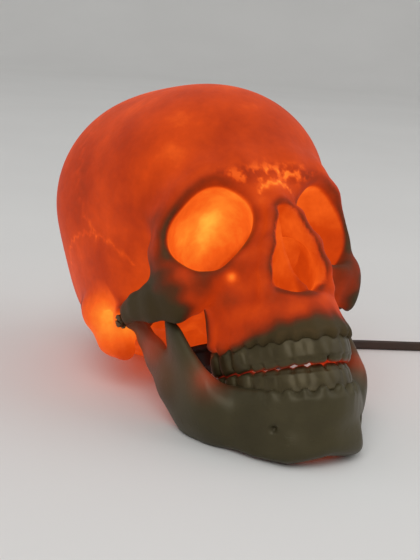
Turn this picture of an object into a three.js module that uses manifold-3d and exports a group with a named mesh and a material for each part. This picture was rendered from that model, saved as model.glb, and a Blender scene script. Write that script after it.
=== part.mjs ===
// Life-size electric skull lamp: a hollow translucent skull with a hinged lower jaw, resting on
// the back of its head and the corners of its jaw, with bulb, flat twin cord, switch and plug.
// Millimetres, +Z up, the face towards -Y, the skull's left side towards +X.
import * as THREE from 'three';
import { mergeVertices } from 'three/addons/utils/BufferGeometryUtils.js';
import Module from 'manifold-3d';

const wasm = await Module();
wasm.setup();

// Driving dimensions
const skull = { breadth: 133, length: 182, height: 222 };   // braincase width, brow to back, crown to chin
const wall = 3;                    // thickness of the moulded shell
const restFlat = 0.5;              // depth of the flats that the skull rests on
const clearance = 0.3;             // gap between pieces that touch
const overrun = 1;                 // how far a cutting tool passes a face

// How softly neighbouring forms run into each other
const blend = { braincase: 22, back: 20, base: 16, brow: 12, face: 7, cheek: 5, fine: 4, edge: 2 };

// Egg forms of the skull: [centre, half sizes], side, forward and up, as shares of the skull's
// breadth, length and height; forms beside the middle stand for a left and a right one
const eggShares = {
  parietal: [[0, -0.052, 0.275], [0.5, 0.324, 0.282]],
  frontal: [[0, 0.181, 0.232], [0.436, 0.288, 0.241]],
  occipital: [[0, -0.231, 0.155], [0.376, 0.275, 0.221]],
  base: [[0.15, -0.022, 0.081], [0.286, 0.253, 0.144]],
  templePole: [[0.12, 0.209, 0.054], [0.18, 0.143, 0.09]],
  upperJaw: [[0.105, 0.33, -0.036], [0.132, 0.126, 0.149]],
  betweenSockets: [[0, 0.396, 0.009], [0.098, 0.088, 0.144]],
  jawFront: [[0, 0.434, -0.135], [0.135, 0.08, 0.072]],
  cheekBone: [[0.32, 0.316, -0.029], [0.079, 0.06, 0.054]],
  noseCavity: [[0.071, 0.33, -0.032], [0.062, 0.148, 0.09]],
  templeHollow: [[0.32, 0.198, -0.099], [0.06, 0.099, 0.113]],
  cheekHollow: [[0.226, 0.451, -0.072], [0.075, 0.055, 0.05]],
};

// Girth of each rod form at its thickest, and how many times it is squeezed from side to side
const rodGirth = {
  bridge: 5, noseSide: 4.4, noseSpine: 4, noseWall: 7, brow: 9.5,
  cheekPost: 8, cheekShelf: 8, cheekArch: 12.5,
  earRidge: 5, mastoid: 12, skullFloor: 10, pterygoid: 7,
  ramusBack: 12, ramusFront: 12, jawAngle: 11.5, jawBody: 13.5, chin: 6.2,
};
const squeezeShares = { cheekArch: 2, cheekPost: 1.6, pterygoid: 1.7, ramusBack: 2, ramusFront: 2,
  jawAngle: 2 };

// Rod forms: rows of side, forward and up shares of the skull, then the share of the girth
const rodShares = {
  bridge: [[0, 0.44, 0.158, 1], [0, 0.454, 0.128, 0.92], [0, 0.474, 0.101, 0.84], [0, 0.481, 0.09, 0.72]],
  noseSide: [[0.034, 0.456, 0.117, 0.818], [0.05, 0.495, 0.063, 0.591], [0.092, 0.498, 0, 0.636],
    [0.12, 0.481, -0.054, 0.773], [0.131, 0.469, -0.09, 1]],
  noseWall: [[0.053, 0.451, 0.063, 0.657], [0.09, 0.448, 0, 0.857], [0.12, 0.434, -0.054, 1]],
  noseSpine: [[0, 0.462, -0.117, 1], [0, 0.522, -0.104, 0.4]],
  brow: [[0, 0.415, 0.185, 1], [0.105, 0.423, 0.18, 1], [0.203, 0.418, 0.171, 0.842],
    [0.293, 0.385, 0.142, 0.684], [0.335, 0.332, 0.108, 0.568]],
  cheekPost: [[0.334, 0.321, 0.108, 0.75], [0.373, 0.301, 0.045, 0.812], [0.37, 0.299, -0.005, 1]],
  cheekShelf: [[0.331, 0.335, -0.025, 1], [0.256, 0.376, -0.036, 0.812], [0.18, 0.407, -0.018, 0.625]],
  cheekArch: [[0.286, 0.313, -0.047, 0.84], [0.35, 0.294, -0.05, 1], [0.391, 0.231, -0.043, 0.72],
    [0.414, 0.165, -0.032, 0.464], [0.415, 0.113, -0.032, 0.352], [0.405, 0.049, -0.027, 0.32],
    [0.387, -0.011, -0.014, 0.336]],
  earRidge: [[0.398, -0.033, 0.023, 0.8], [0.414, -0.099, 0.036, 1], [0.406, -0.165, 0.054, 0.6]],
  mastoid: [[0.376, -0.077, 0.009, 1], [0.372, -0.06, -0.05, 0.733], [0.358, -0.041, -0.083, 0.45]],
  skullFloor: [[0, -0.033, -0.086, 0.6], [0, 0.055, -0.063, 0.9], [0, 0.165, -0.027, 1]],
  pterygoid: [[0.12, 0.198, -0.045, 1], [0.124, 0.22, -0.126, 0.929], [0.128, 0.236, -0.18, 0.571]],
  ramusBack: [[0.342, 0.06, -0.045, 0.367], [0.342, 0.08, -0.081, 0.408], [0.342, 0.124, -0.135, 0.617],
    [0.335, 0.176, -0.203, 0.875], [0.316, 0.209, -0.257, 1]],
  ramusFront: [[0.342, 0.234, -0.09, 0.3], [0.338, 0.247, -0.135, 0.467], [0.331, 0.253, -0.189, 0.75],
    [0.312, 0.275, -0.252, 1]],
  jawAngle: [[0.316, 0.181, -0.252, 0.739], [0.301, 0.203, -0.277, 0.87], [0.293, 0.253, -0.293, 1]],
  jawBody: [[0.297, 0.242, -0.293, 0.889], [0.259, 0.33, -0.322, 0.904], [0.199, 0.39, -0.351, 0.963],
    [0.12, 0.423, -0.369, 1], [0.053, 0.448, -0.369, 1], [0, 0.454, -0.369, 1]],
  chin: [[0, 0.451, -0.39, 1], [0.105, 0.426, -0.398, 0.806]],
};

// Eye sockets: closed cups that run back and inwards from a slanted, rounded rim
const socket = { halfWidth: 20.6, halfHeight: 16.4, depth: 42, rim: 3, rimSet: 2.5, back: 4.5, back0: 3,
  lampWall: 6 };
const socketCentreShares = [0.23, 0.401, 0.064];
const socketSideShares = [0.9, -0.42, -0.12];       // direction across the rim
const socketUpShares = [-0.05, 0.28, 0.96];          // direction up the rim
const socketAxisShares = [-0.42, -0.9, -0.06];       // direction into the cup
const socketTurn = -34;                              // degrees the rim's outline leans
const socketRoundShare = 2.5;                        // 2 is an ellipse, more is squarer
const socketCupShare = 0.62;
const socketFlareShare = 0.17;
const socketRimShare = 1.07;

// Nose opening: a pear, wide below, with a plate down its middle
const nose = { lowRadius: 12.6, topRadius: 2.2, backStop: 58, plate: 2.2, plateIn: 3 };
const noseShares = { low: -0.052, top: 0.077 };
const nosePlateShares = [[0.448, 0.126], [0.464, 0.054], [0.46, 0.026], [0.461, -0.01], [0.473, -0.053],
  [0.493, -0.078], [0.524, -0.103], [0.42, -0.13], [0.25, -0.12], [0.23, 0.02], [0.33, 0.12]];

// Tooth-bearing ridges and the rows of teeth, in plan halves of an ellipse with straight sides
const archCentreShare = 0.286;                       // where the straight sides end, forward
// Half width as a share of the breadth, run as a share of the length
const archShares = { upper: [0.2045, 0.2434], lower: [0.194, 0.2198], jaw: [0.2368, 0.2582] };
const archSize = ([width, run]) => ({ halfWidth: width * skull.breadth, run: run * skull.length });
const upperArch = { ...archSize(archShares.upper), ridgeHalf: 5.2, ridgeTall: 9.5, lean: 0.4, palateThick: 8 };
const lowerArch = { ...archSize(archShares.lower), ridgeHalf: 4.8, ridgeTall: 8.5, lean: -0.3 };
const ridgeStraight = 4;                             // the ridges lean in beyond this depth
const archBackShares = { upper: 0.258, lower: 0.256, palate: 0.231 };
const ridgeShares = { upper: -0.154, lower: -0.327, from: 0.412, palate: -0.135 };
const biteShares = { slope: 0.17, lowerSlope: 0.24, opening: 0.04, height: -0.26 };   // height of the upper tips
const bite = { touch: 0.4 };
const jawPlan = { ...archSize(archShares.jaw), thickness: 11.6, in: 0.6 };
const jawPlanShare = 0.192;
const crown = { depth: 8.2, incisorDepth: 6, neck: 0.6, tipDrop: 1.4 };
const crownWidthShares = [8.6, 6.8, 7.8, 7.2, 7, 10.2, 9.8, 8.6].map((width) => width / 66);
const crownRingShares = [[0, 0.96, 0.86], [0.5, 1.02, 1], [1, 0.8, 0.62]];
const cuttingRingShares = [[0, 0.96, 1], [0.5, 0.99, 0.84], [1, 0.92, 0.26]];
const toothStrip = { width: 6.4, tall: 7, set: 3.4, room: 12, roomWidth: 10 };

// Jaw joint: screws through the ends of the jaw into the skull's side
const hinge = { radius: 4.6, halfLength: 8, play: 1.2, screw: 1.5, headRadius: 3.2, headTall: 2,
  washer: 0.8, washerRadius: 4, screwIn: 6.5, boss: 6 };
const hingeShares = [0.338, 0.055, -0.036];

// Lamp: a foot in the hole of the skull's base, a screw lampholder and its bulb
const foot = { flange: 20.5, flangeTall: 2.4, neck: 15.4, neckOver: 1.6, cup: 12.4, cupTall: 7.4, wall: 2.2 };
const footForwardShare = -0.088;
const footSeatShare = -0.095;
const collar = { radius: 24, tall: 13 };
const holder = { outer: 11.4, bore: 8.6, floor: 2.4, tall: 34, below: 13, ring: 14.2, ringTall: 3 };
const shellLiner = { outer: 8.3, inner: 7.6, tall: 17, drop: 1 };
const contact = { radius: 3, tall: 1.2 };
const bulb = { cap: 7.3, capTall: 22, capWall: 0.6, insulator: 4.6, insulatorTall: 2.4, tip: 2.2, tipTall: 1.4,
  radius: 15, tall: 56, neck: 6.2, glass: 0.8, inCap: 8, stem: 2.6, stemTall: 20, stemFoot: 1.4,
  wire: 0.5, filamentSpan: 9, filamentRise: 12 };
const clip = { thick: 0.8, width: 6, reach: 3.2, under: 2.6 };
const earHole = { radius: 3.6 };
const earShares = { forward: -0.012, up: -0.009, inner: 0.316 };

// Flat twin cord, its gland, switch, coil, tie and plug
const cord = { width: 5.6, thick: 2.8, step: 14, sides: 8 };
const gland = { radius: 3, tipRadius: 2.9, length: 22, bury: 1.6, rise: 3.7, exit: 14 };   // exit: degrees from the left
const coil = { turns: 3.375, innerRadius: 28, gap: 0.7, stepsPerTurn: 24, sides: 6, approach: 38, drop: 14, tail: 18 };
const tie = { thick: 0.5, width: 8, ease: 0.5, at: 8 };
const roller = { radius: 7.6, thick: 3.6, out: 2.6, axle: 1.6, axleTall: 1.6, play: 0.4 };
const switchCase = { length: 44, width: 19, height: 11.2, round: 5, screw: 1.3, screwHead: 2.3, screwSink: 1.4,
  screwIn: 7, side: 5 };
const plug = { length: 27, width: 25, nose: 8, noseWidth: 10, thick: 12, round: 3, blade: 17.5, bladeWidth: 6.3,
  bladeThick: 1.5, bladeApart: 12.7 };
// Route of the lead on the floor, chosen by hand: left, back and height from the ear line's middle.
// The twin cord lies on its edge, as it bends that way only.
const leadRoute = [[36, 1.5, 5.6], [46, 4.5, 4.1], [58, 9.5, 3], [72, 16.5, 2.9], [86, 23.5, 2.9], [98, 28.5, 2.9],
  [109, 30.6, 2.9], [119, 29.8, 2.9], [129, 26.6, 2.9], [139.4, 22.5, 2.9], [149, 18.8, 2.9], [159, 15, 2.9],
  [168, 11.6, 3.4], [176, 8.6, 5], [182, 6.3, 5.6], [188, 4, 5.6]];

// Sampling steps of the moulded forms: fine at the face, wider over the smooth braincase
const sample = { side: 6.6, fine: 6.1, wide: 14, jaw: 5.7, cavity: 12.5, margin: 18 };
const faceFromShare = 0.06;
const faceUpShare = 0.2;

const colours = { bone: 0xe8cfa2, teeth: 0xded2ae, metal: 0xb9b9b4, brass: 0xc9a650, black: 0x1c1b1a,
  glass: 0xffd9a0, porcelain: 0xe9e6dc, cordPlastic: 0xd8d2c6, filament: 0xffb050, switchPlastic: 0xd0c9bb };

const radians = THREE.MathUtils.degToRad;
const side = (share) => share * skull.breadth;
const forward = (share) => share * skull.length;
const up = (share) => share * skull.height;
const place = (shares) => [side(shares[0]), forward(shares[1]), up(shares[2])];

// Distance functions: p is [side without its sign, forward, up]; negative is inside
const { abs, min, max, hypot, sqrt, cos, sin, PI, sign } = Math;
const clamp = THREE.MathUtils.clamp;

function join(a, b, soft) {
  const overlap = max(soft - abs(a - b), 0);
  return min(a, b) - overlap * overlap / (4 * soft);
}

const within = (a, b, soft) => -join(-a, -b, soft);
const without = (a, b, soft) => within(a, -b, soft);

function egg(p, name) {
  const centre = place(eggShares[name][0]);
  const half = place(eggShares[name][1]);
  const q = p.map((value, i) => (value - centre[i]) / half[i]);
  const near = hypot(...q);
  const slope = hypot(...q.map((value, i) => value / half[i]));
  return near * (near - 1) / max(slope, Number.EPSILON);
}

function rodPiece(p, a, b, radiusA, radiusB, squeeze = 1) {
  const scale = [squeeze, 1, 1];
  const along = b.map((value, i) => (value - a[i]) * scale[i]);
  const from = p.map((value, i) => (value - a[i]) * scale[i]);
  const length2 = along.reduce((sum, value) => sum + value * value, 0);
  const t = clamp(from.reduce((sum, value, i) => sum + value * along[i], 0) / length2, 0, 1);
  const away = hypot(...from.map((value, i) => value - t * along[i]));
  return (away - radiusA - (radiusB - radiusA) * t) / sqrt(squeeze);
}

function rod(p, name, soft = blend.fine) {
  const rows = rodShares[name];
  const girth = rodGirth[name];
  let result = Infinity;
  for (let i = 0; i + 1 < rows.length; i++) {
    const piece = rodPiece(p, place(rows[i]), place(rows[i + 1]), girth * rows[i][3], girth * rows[i + 1][3],
      squeezeShares[name]);
    result = i ? join(result, piece, soft) : piece;
  }
  return result;
}

// The slanted frame of an eye socket
const socketCentre = new THREE.Vector3(...place(socketCentreShares));
const socketSide = new THREE.Vector3(...socketSideShares).normalize();
const socketUp = new THREE.Vector3(...socketUpShares);
socketUp.addScaledVector(socketSide, -socketUp.dot(socketSide)).normalize();
const socketOut = new THREE.Vector3().crossVectors(socketUp, socketSide);
const socketAxis = new THREE.Vector3(...socketAxisShares).normalize();

function socketFrame(p) {
  const from = new THREE.Vector3(...p).sub(socketCentre);
  const deep = from.dot(socketOut) / socketAxis.dot(socketOut);
  from.addScaledVector(socketAxis, -deep);
  const across = from.dot(socketSide);
  const rise = from.dot(socketUp);
  const c = cos(radians(socketTurn));
  const s = sin(radians(socketTurn));
  const ring = (abs((across * c + rise * s) / socket.halfWidth) ** socketRoundShare
    + abs((rise * c - across * s) / socket.halfHeight) ** socketRoundShare) ** (1 / socketRoundShare);
  return { deep, ring };
}

const socketMean = (socket.halfWidth + socket.halfHeight) / 2;

function eyeSocket(p) {
  const { deep, ring } = socketFrame(p);
  const size = deep > 0 ? max(1 - (deep / socket.depth) ** 2, 0) ** socketCupShare
    : 1 - socketFlareShare * deep / socket.depth;
  return (ring - size) * socketMean;
}

function socketRim(p) {
  const { deep, ring } = socketFrame(p);
  return hypot((ring - socketRimShare) * socketMean, deep - socket.rimSet) - socket.rim;
}

const socketBack = (p) => within(eyeSocket(p) - socket.back, socket.back0 - socketFrame(p).deep, blend.fine);

// Distance in plan from the middle line of a row of teeth
function archPlan(p, halfWidth, run, centreShare = archCentreShare) {
  const ahead = p[1] - forward(centreShare);
  if (ahead < 0) return p[0] - halfWidth;
  const near = hypot(p[0] / halfWidth, ahead / run);
  const slope = hypot(p[0] / halfWidth ** 2, ahead / run ** 2);
  return near * (near - 1) / max(slope, Number.EPSILON);
}

function toothRidge(p, arch, levelShare, slopeShare, backShare) {
  const level = up(levelShare) - (p[1] - forward(ridgeShares.from)) * slopeShare;
  const lean = max(arch.lean * (p[2] - level) + abs(arch.lean) * (arch.ridgeTall - ridgeStraight), 0);
  const plan = archPlan(p, arch.halfWidth, arch.run) + lean;
  const ridge = within(abs(plan) - arch.ridgeHalf, abs(p[2] - level) - arch.ridgeTall, blend.cheek);
  return within(ridge, forward(backShare) - p[1], blend.fine);
}

function noseOpening(p) {
  const low = up(noseShares.low);
  const rise = up(noseShares.top) - low;
  const t = clamp((p[2] - low) / rise, 0, 1);
  return hypot(p[0], p[2] - low - t * rise) - nose.lowRadius - (nose.topRadius - nose.lowRadius) * t;
}

function braincase(p) {
  let d = join(egg(p, 'parietal'), egg(p, 'frontal'), blend.braincase);
  d = join(d, egg(p, 'occipital'), blend.back);
  d = join(d, egg(p, 'base'), blend.base);
  return join(d, egg(p, 'templePole'), blend.brow);
}

function cheek(p) {
  let d = join(rod(p, 'cheekPost'), egg(p, 'cheekBone'), blend.face);
  d = join(d, rod(p, 'cheekShelf'), blend.face);
  return join(d, rod(p, 'cheekArch'), blend.cheek);
}

function face(p) {
  let d = join(egg(p, 'upperJaw'), egg(p, 'betweenSockets'), blend.face);
  d = join(d, egg(p, 'jawFront'), blend.brow);
  const ridge = toothRidge(p, upperArch, ridgeShares.upper, biteShares.slope, archBackShares.upper);
  d = join(d, ridge, blend.face);
  const roof = within(archPlan(p, upperArch.halfWidth, upperArch.run),
    abs(p[2] - up(ridgeShares.palate)) - upperArch.palateThick / 2, blend.fine);
  d = join(d, within(roof, forward(archBackShares.palate) - p[1], blend.fine), blend.fine);
  for (const name of ['bridge', 'noseSide', 'noseWall', 'noseSpine']) d = join(d, rod(p, name), blend.fine);
  d = join(d, cheek(p), blend.face);
  d = join(d, socketRim(p), blend.face);
  d = without(d, egg(p, 'templeHollow'), blend.cheek);
  return join(d, socketBack(p), blend.fine);
}

const hingePlace = place(hingeShares);

function jointHollow(p) {
  const inner = [hingePlace[0] - hinge.halfLength - hinge.play, hingePlace[1], hingePlace[2]];
  const outer = [hingePlace[0] + side(1), hingePlace[1], hingePlace[2]];
  return rodPiece(p, inner, outer, hinge.radius + hinge.play, hinge.radius + hinge.play);
}

function jointBoss(p) {
  const outer = [hingePlace[0] - hinge.halfLength - hinge.boss, hingePlace[1], hingePlace[2]];
  const inner = [outer[0] - hinge.boss, hingePlace[1], hingePlace[2]];
  return rodPiece(p, outer, inner, hinge.boss, hinge.boss);
}

function cranium(p) {
  let d = join(join(braincase(p), rod(p, 'brow'), blend.brow), face(p), blend.face);
  d = join(d, rod(p, 'earRidge'), blend.face);
  d = join(d, rod(p, 'mastoid'), blend.face);
  d = join(d, rod(p, 'skullFloor'), blend.face);
  d = join(d, rod(p, 'pterygoid'), blend.cheek);
  d = join(d, jointBoss(p), blend.fine);
  d = without(d, eyeSocket(p), blend.fine);
  const opening = within(noseOpening(p), nose.backStop - p[1], blend.cheek);
  d = without(d, join(opening, egg(p, 'noseCavity'), blend.fine), blend.edge);
  d = without(d, egg(p, 'cheekHollow'), blend.face);
  const mouth = within(archPlan(p, upperArch.halfWidth - upperArch.ridgeHalf, upperArch.run - upperArch.ridgeHalf),
    p[2] - up(ridgeShares.palate), blend.face);
  d = without(d, mouth, blend.fine);
  return without(d, jointHollow(p), blend.edge);
}

// The hollow for the lamp keeps one wall inside every face of the braincase, more at the cups
const lampHollow = (p) => within(max(cranium(p) + wall, wall - jointBoss(p), socket.lampWall - eyeSocket(p)),
  braincase(p) + wall, blend.edge);

function condyle(p) {
  const half = hinge.halfLength - hinge.radius;
  return rodPiece(p, [hingePlace[0] - half, hingePlace[1], hingePlace[2]],
    [hingePlace[0] + half, hingePlace[1], hingePlace[2]], hinge.radius, hinge.radius);
}

function jaw(p) {
  let d = join(rod(p, 'ramusBack', blend.cheek), rod(p, 'ramusFront', blend.cheek), blend.fine);
  d = join(d, condyle(p), blend.fine);
  d = join(d, rod(p, 'jawAngle', blend.cheek), blend.cheek);
  const line = archPlan(p, jawPlan.halfWidth, jawPlan.run, jawPlanShare);
  const band = within(rod(p, 'jawBody', blend.cheek), abs(line + jawPlan.in) - jawPlan.thickness / 2, blend.fine);
  d = join(d, band, blend.cheek);
  const ridge = toothRidge(p, lowerArch, ridgeShares.lower, biteShares.lowerSlope, archBackShares.lower);
  d = join(d, ridge, blend.face);
  return join(d, rod(p, 'chin'), blend.face);
}

// Closed surface where a distance function is zero, from samples at the crossings of three
// rows of places: one point in each cell that the surface passes through
function surface(field, rows) {
  const [xs, ys, zs] = rows;
  const value = (i, j, k) => samples[(i * ys.length + j) * zs.length + k];
  const samples = new Float64Array(xs.length * ys.length * zs.length);
  let at = 0;
  for (const x of xs) for (const y of ys) for (const z of zs) samples[at++] = field([abs(x), y, z]);
  clearDoubtfulFaces(samples, xs.length, ys.length, zs.length);
  const corners = [0, 1].flatMap((i) => [0, 1].flatMap((j) => [0, 1].map((k) => [i, j, k])));
  const edges = corners.flatMap((a) => corners.filter((b) => a.every((v, n) => v <= b[n])
    && b.reduce((sum, v, n) => sum + v - a[n], 0) === 1).map((b) => [a, b]));
  const points = [];
  const pointOf = new Map();
  const cellPoint = (i, j, k) => {
    const key = (i * ys.length + j) * zs.length + k;
    if (pointOf.has(key)) return pointOf.get(key);
    const sum = new THREE.Vector3();
    let count = 0;
    for (const [a, b] of edges) {
      const from = value(i + a[0], j + a[1], k + a[2]);
      const to = value(i + b[0], j + b[1], k + b[2]);
      if (from < 0 === to < 0) continue;
      const t = from / (from - to);
      sum.x += THREE.MathUtils.lerp(xs[i + a[0]], xs[i + b[0]], t);
      sum.y += THREE.MathUtils.lerp(ys[j + a[1]], ys[j + b[1]], t);
      sum.z += THREE.MathUtils.lerp(zs[k + a[2]], zs[k + b[2]], t);
      count++;
    }
    points.push(sum.divideScalar(count));
    pointOf.set(key, points.length - 1);
    return points.length - 1;
  };
  const triangles = [];
  const quad = (a, b, c, d) => {
    const cross = points[a].distanceToSquared(points[c]) <= points[b].distanceToSquared(points[d]);
    triangles.push(...(cross ? [a, b, c, a, c, d] : [a, b, d, b, c, d]));
  };
  for (let i = 1; i < xs.length - 1; i++) {
    for (let j = 1; j < ys.length - 1; j++) {
      for (let k = 1; k < zs.length - 1; k++) {
        const here = value(i, j, k) < 0;
        const steps = [[1, 0, 0], [0, 1, 0], [0, 0, 1]];
        steps.forEach((step, axis) => {
          if (here === value(i + step[0], j + step[1], k + step[2]) < 0) return;
          const u = steps[(axis + 1) % 3];
          const v = steps[(axis + 2) % 3];
          const around = [[1, 1], [0, 1], [0, 0], [1, 0]].map(([m, n]) => cellPoint(
            i - m * u[0] - n * v[0], j - m * u[1] - n * v[1], k - m * u[2] - n * v[2]));
          quad(...(here ? around : around.reverse()));
        });
      }
    }
  }
  return largestBody(points, triangles);
}

// A face of a cell whose corners lie in, out, in and out in turn would let two sheets of the
// surface meet along an edge, so its outer corner nearest the surface is taken in, left and right alike
function clearDoubtfulFaces(samples, countX, countY, countZ) {
  const index = (i, j, k) => (i * countY + j) * countZ + k;
  const middle = (countX - 1) / 2;
  const steps = [[1, 0, 0], [0, 1, 0], [0, 0, 1]];
  let changed = true;
  while (changed) {
    changed = false;
    for (let i = middle; i < countX - 1; i++) {
      for (let j = 0; j < countY - 1; j++) {
        for (let k = 0; k < countZ - 1; k++) {
          for (const [u, v] of [[0, 1], [1, 2], [2, 0]]) {
            const corner = (m, n) => index(i + m * steps[u][0] + n * steps[v][0],
              j + m * steps[u][1] + n * steps[v][1], k + m * steps[u][2] + n * steps[v][2]);
            const four = [corner(0, 0), corner(1, 0), corner(1, 1), corner(0, 1)];
            const inside = four.map((n) => samples[n] < 0);
            if (inside[0] !== inside[2] || inside[1] !== inside[3] || inside[0] === inside[1]) continue;
            const nearest = four.filter((n) => samples[n] >= 0).sort((a, b) => samples[a] - samples[b])[0];
            samples[nearest] = min(-samples[nearest], -Number.EPSILON);
            changed = true;
          }
        }
      }
    }
    const layer = countY * countZ;
    for (let i = 0; i < middle; i++) {
      const from = (countX - 1 - i) * layer;
      samples.copyWithin(i * layer, from, from + layer);
    }
  }
}

// Keeps the largest connected surface, as a solid in the skull's local axes (x left, y back, z up)
function largestBody(points, triangles) {
  const parent = points.map((_, i) => i);
  const root = (i) => {
    let at = i;
    while (parent[at] !== at) at = parent[at] = parent[parent[at]];
    return at;
  };
  for (let t = 0; t < triangles.length; t += 3) {
    parent[root(triangles[t])] = root(triangles[t + 1]);
    parent[root(triangles[t])] = root(triangles[t + 2]);
  }
  const sizes = new Map();
  points.forEach((_, i) => sizes.set(root(i), (sizes.get(root(i)) ?? 0) + 1));
  const largest = [...sizes].sort((a, b) => b[1] - a[1])[0][0];
  const kept = new Map();
  const vertProperties = [];
  const triVerts = [];
  for (let t = 0; t < triangles.length; t += 3) {
    if (root(triangles[t]) !== largest) continue;
    for (const i of [triangles[t], triangles[t + 2], triangles[t + 1]]) {
      if (!kept.has(i)) {
        kept.set(i, kept.size);
        vertProperties.push(points[i].x, -points[i].y, points[i].z);
      }
      triVerts.push(kept.get(i));
    }
  }
  return new wasm.Manifold(new wasm.Mesh({ numProp: 3, vertProperties: new Float32Array(vertProperties),
    triVerts: new Uint32Array(triVerts) }));
}

// Evenly spread places from low to high
function spread(low, high, step) {
  const count = max(2, Math.round((high - low) / step));
  return Array.from({ length: count + 1 }, (_, i) => low + (high - low) * i / count);
}

const twoRates = (low, middle, high, first, second) => [...spread(low, middle, first),
  ...spread(middle, high, second).slice(1)];

// Solids from three.js geometry, and geometry from solids
function solid(geometry) {
  const bare = geometry.index ? geometry.toNonIndexed() : geometry.clone();
  for (const name of Object.keys(bare.attributes)) if (name !== 'position') bare.deleteAttribute(name);
  const merged = mergeVertices(bare);
  const places = new Float32Array(merged.attributes.position.array);
  return new wasm.Manifold(new wasm.Mesh({ numProp: 3, vertProperties: places,
    triVerts: new Uint32Array(merged.index.array) }));
}

function geometryOf(manifold) {
  const { vertProperties, triVerts, numProp } = manifold.getMesh();
  const geometry = new THREE.BufferGeometry();
  const positions = new Float32Array(vertProperties.length / numProp * 3);
  for (let i = 0; i < positions.length; i++) positions[i] = vertProperties[Math.floor(i / 3) * numProp + i % 3];
  geometry.setAttribute('position', new THREE.BufferAttribute(positions, 3));
  geometry.setIndex(new THREE.BufferAttribute(new Uint32Array(triVerts), 1));
  return geometry;
}

// A turned form about the z axis from [radius, height] points, closed on itself or on the axis
function turned(points, segments = 16) {
  const profile = points.map(([radius, height]) => new THREE.Vector2(radius, height));
  if (points[0][0] > 0 || points.at(-1)[0] > 0) profile.push(profile[0].clone());
  return new THREE.LatheGeometry(profile, segments).rotateX(PI / 2);
}

const tube = (outer, inner, low, high, segments) => turned([[inner, low], [outer, low], [outer, high], [inner, high]],
  segments);
const cylinder = (radius, low, high, segments) => turned([[0, low], [radius, low], [radius, high], [0, high]], segments);

const materials = {};
function material(colour, roughness, metalness = 0) {
  materials[colour] ??= new THREE.MeshStandardMaterial({ color: colours[colour], roughness, metalness });
  return materials[colour].clone();
}

function mesh(name, shape, finish, parent) {
  const geometry = shape instanceof THREE.BufferGeometry ? shape : geometryOf(shape);
  geometry.computeVertexNormals();
  const made = new THREE.Mesh(geometry, finish);
  made.name = name;
  parent.add(made);
  return made;
}

// Row of teeth: crowns one after another along half an arch, both sides, and the strip they stand on
function archPoint(arch, length) {
  const count = 240;
  let travelled = 0;
  let last = [0, forward(archCentreShare) + arch.run];
  for (let i = 1; i <= count; i++) {
    const angle = PI / 2 * i / count;
    const next = [arch.halfWidth * sin(angle), forward(archCentreShare) + arch.run * cos(angle)];
    const piece = hypot(next[0] - last[0], next[1] - last[1]);
    if (travelled + piece >= length) {
      const heading = Math.atan2(next[1] - last[1], next[0] - last[0]);
      const t = (length - travelled) / piece;
      return { x: last[0] + (next[0] - last[0]) * t, y: last[1] + (next[1] - last[1]) * t, heading };
    }
    travelled += piece;
    last = next;
  }
  return { x: arch.halfWidth, y: last[1] - (length - travelled), heading: -PI / 2 };
}

function crownSolid(width, depth, rings, base, tip) {
  const sides = 6;
  const vertices = [];
  const triangles = [];
  rings.forEach(([rise, widthShare, depthShare]) => {
    for (let i = 0; i < sides; i++) {
      const angle = 2 * PI * (i + 0.5) / sides;
      const square = (value) => sign(value) * sqrt(abs(value));
      vertices.push(square(cos(angle)) * width / 2 * widthShare, square(sin(angle)) * depth / 2 * depthShare,
        base + (tip - base) * rise);
    }
  });
  const low = vertices.length / 3;
  vertices.push(0, 0, base, 0, 0, tip);
  const upward = tip > base;
  const add = (a, b, c) => triangles.push(...(upward ? [a, b, c] : [a, c, b]));
  for (let i = 0; i < sides; i++) {
    const next = (i + 1) % sides;
    add(low, next, i);
    add(low + 1, (rings.length - 1) * sides + i, (rings.length - 1) * sides + next);
    for (let r = 0; r + 1 < rings.length; r++) {
      const [a, b, c, d] = [r * sides + i, r * sides + next, (r + 1) * sides + next, (r + 1) * sides + i];
      add(a, b, c);
      add(a, c, d);
    }
  }
  const geometry = new THREE.BufferGeometry();
  geometry.setAttribute('position', new THREE.Float32BufferAttribute(vertices, 3));
  geometry.setIndex(triangles);
  return geometry;
}

// A horseshoe strip along an arch, level with the skull's own axes and leaning with the ridge
function stripSolid(arch, width, low, high, lean, backShare, grow = 0) {
  const length = crownReach(arch) + grow;
  const stations = 8;
  const outline = [];
  for (const part of [1, -1]) {
    const run = [];
    for (let i = -stations; i <= stations; i++) {
      const point = archPoint(arch, abs(i) / stations * length);
      const half = part * (width / 2 + grow);
      const turn = point.heading + PI / 2;
      const x = sign(i) * (point.x + cos(turn) * half);
      run.push([i ? x : 0, point.y + sin(turn) * half]);
    }
    outline.push(...(part > 0 ? run : run.reverse()));
  }
  const shape = new THREE.Shape(outline.map(([x, y]) => new THREE.Vector2(x, -y)));
  const geometry = new THREE.ExtrudeGeometry(shape, { depth: high - low + 2 * grow, bevelEnabled: false });
  const position = geometry.attributes.position;
  for (let i = 0; i < position.count; i++) {
    const ahead = -position.getY(i) - forward(ridgeShares.from);
    position.setZ(i, position.getZ(i) + low - grow - ahead * lean);
  }
  return geometry;
}

const crownReach = (arch) => {
  const quarter = PI / 2 * sqrt((arch.halfWidth ** 2 + arch.run ** 2) / 2);
  return quarter + forward(archCentreShare - archBackShares.upper) - crown.neck;
};

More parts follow.
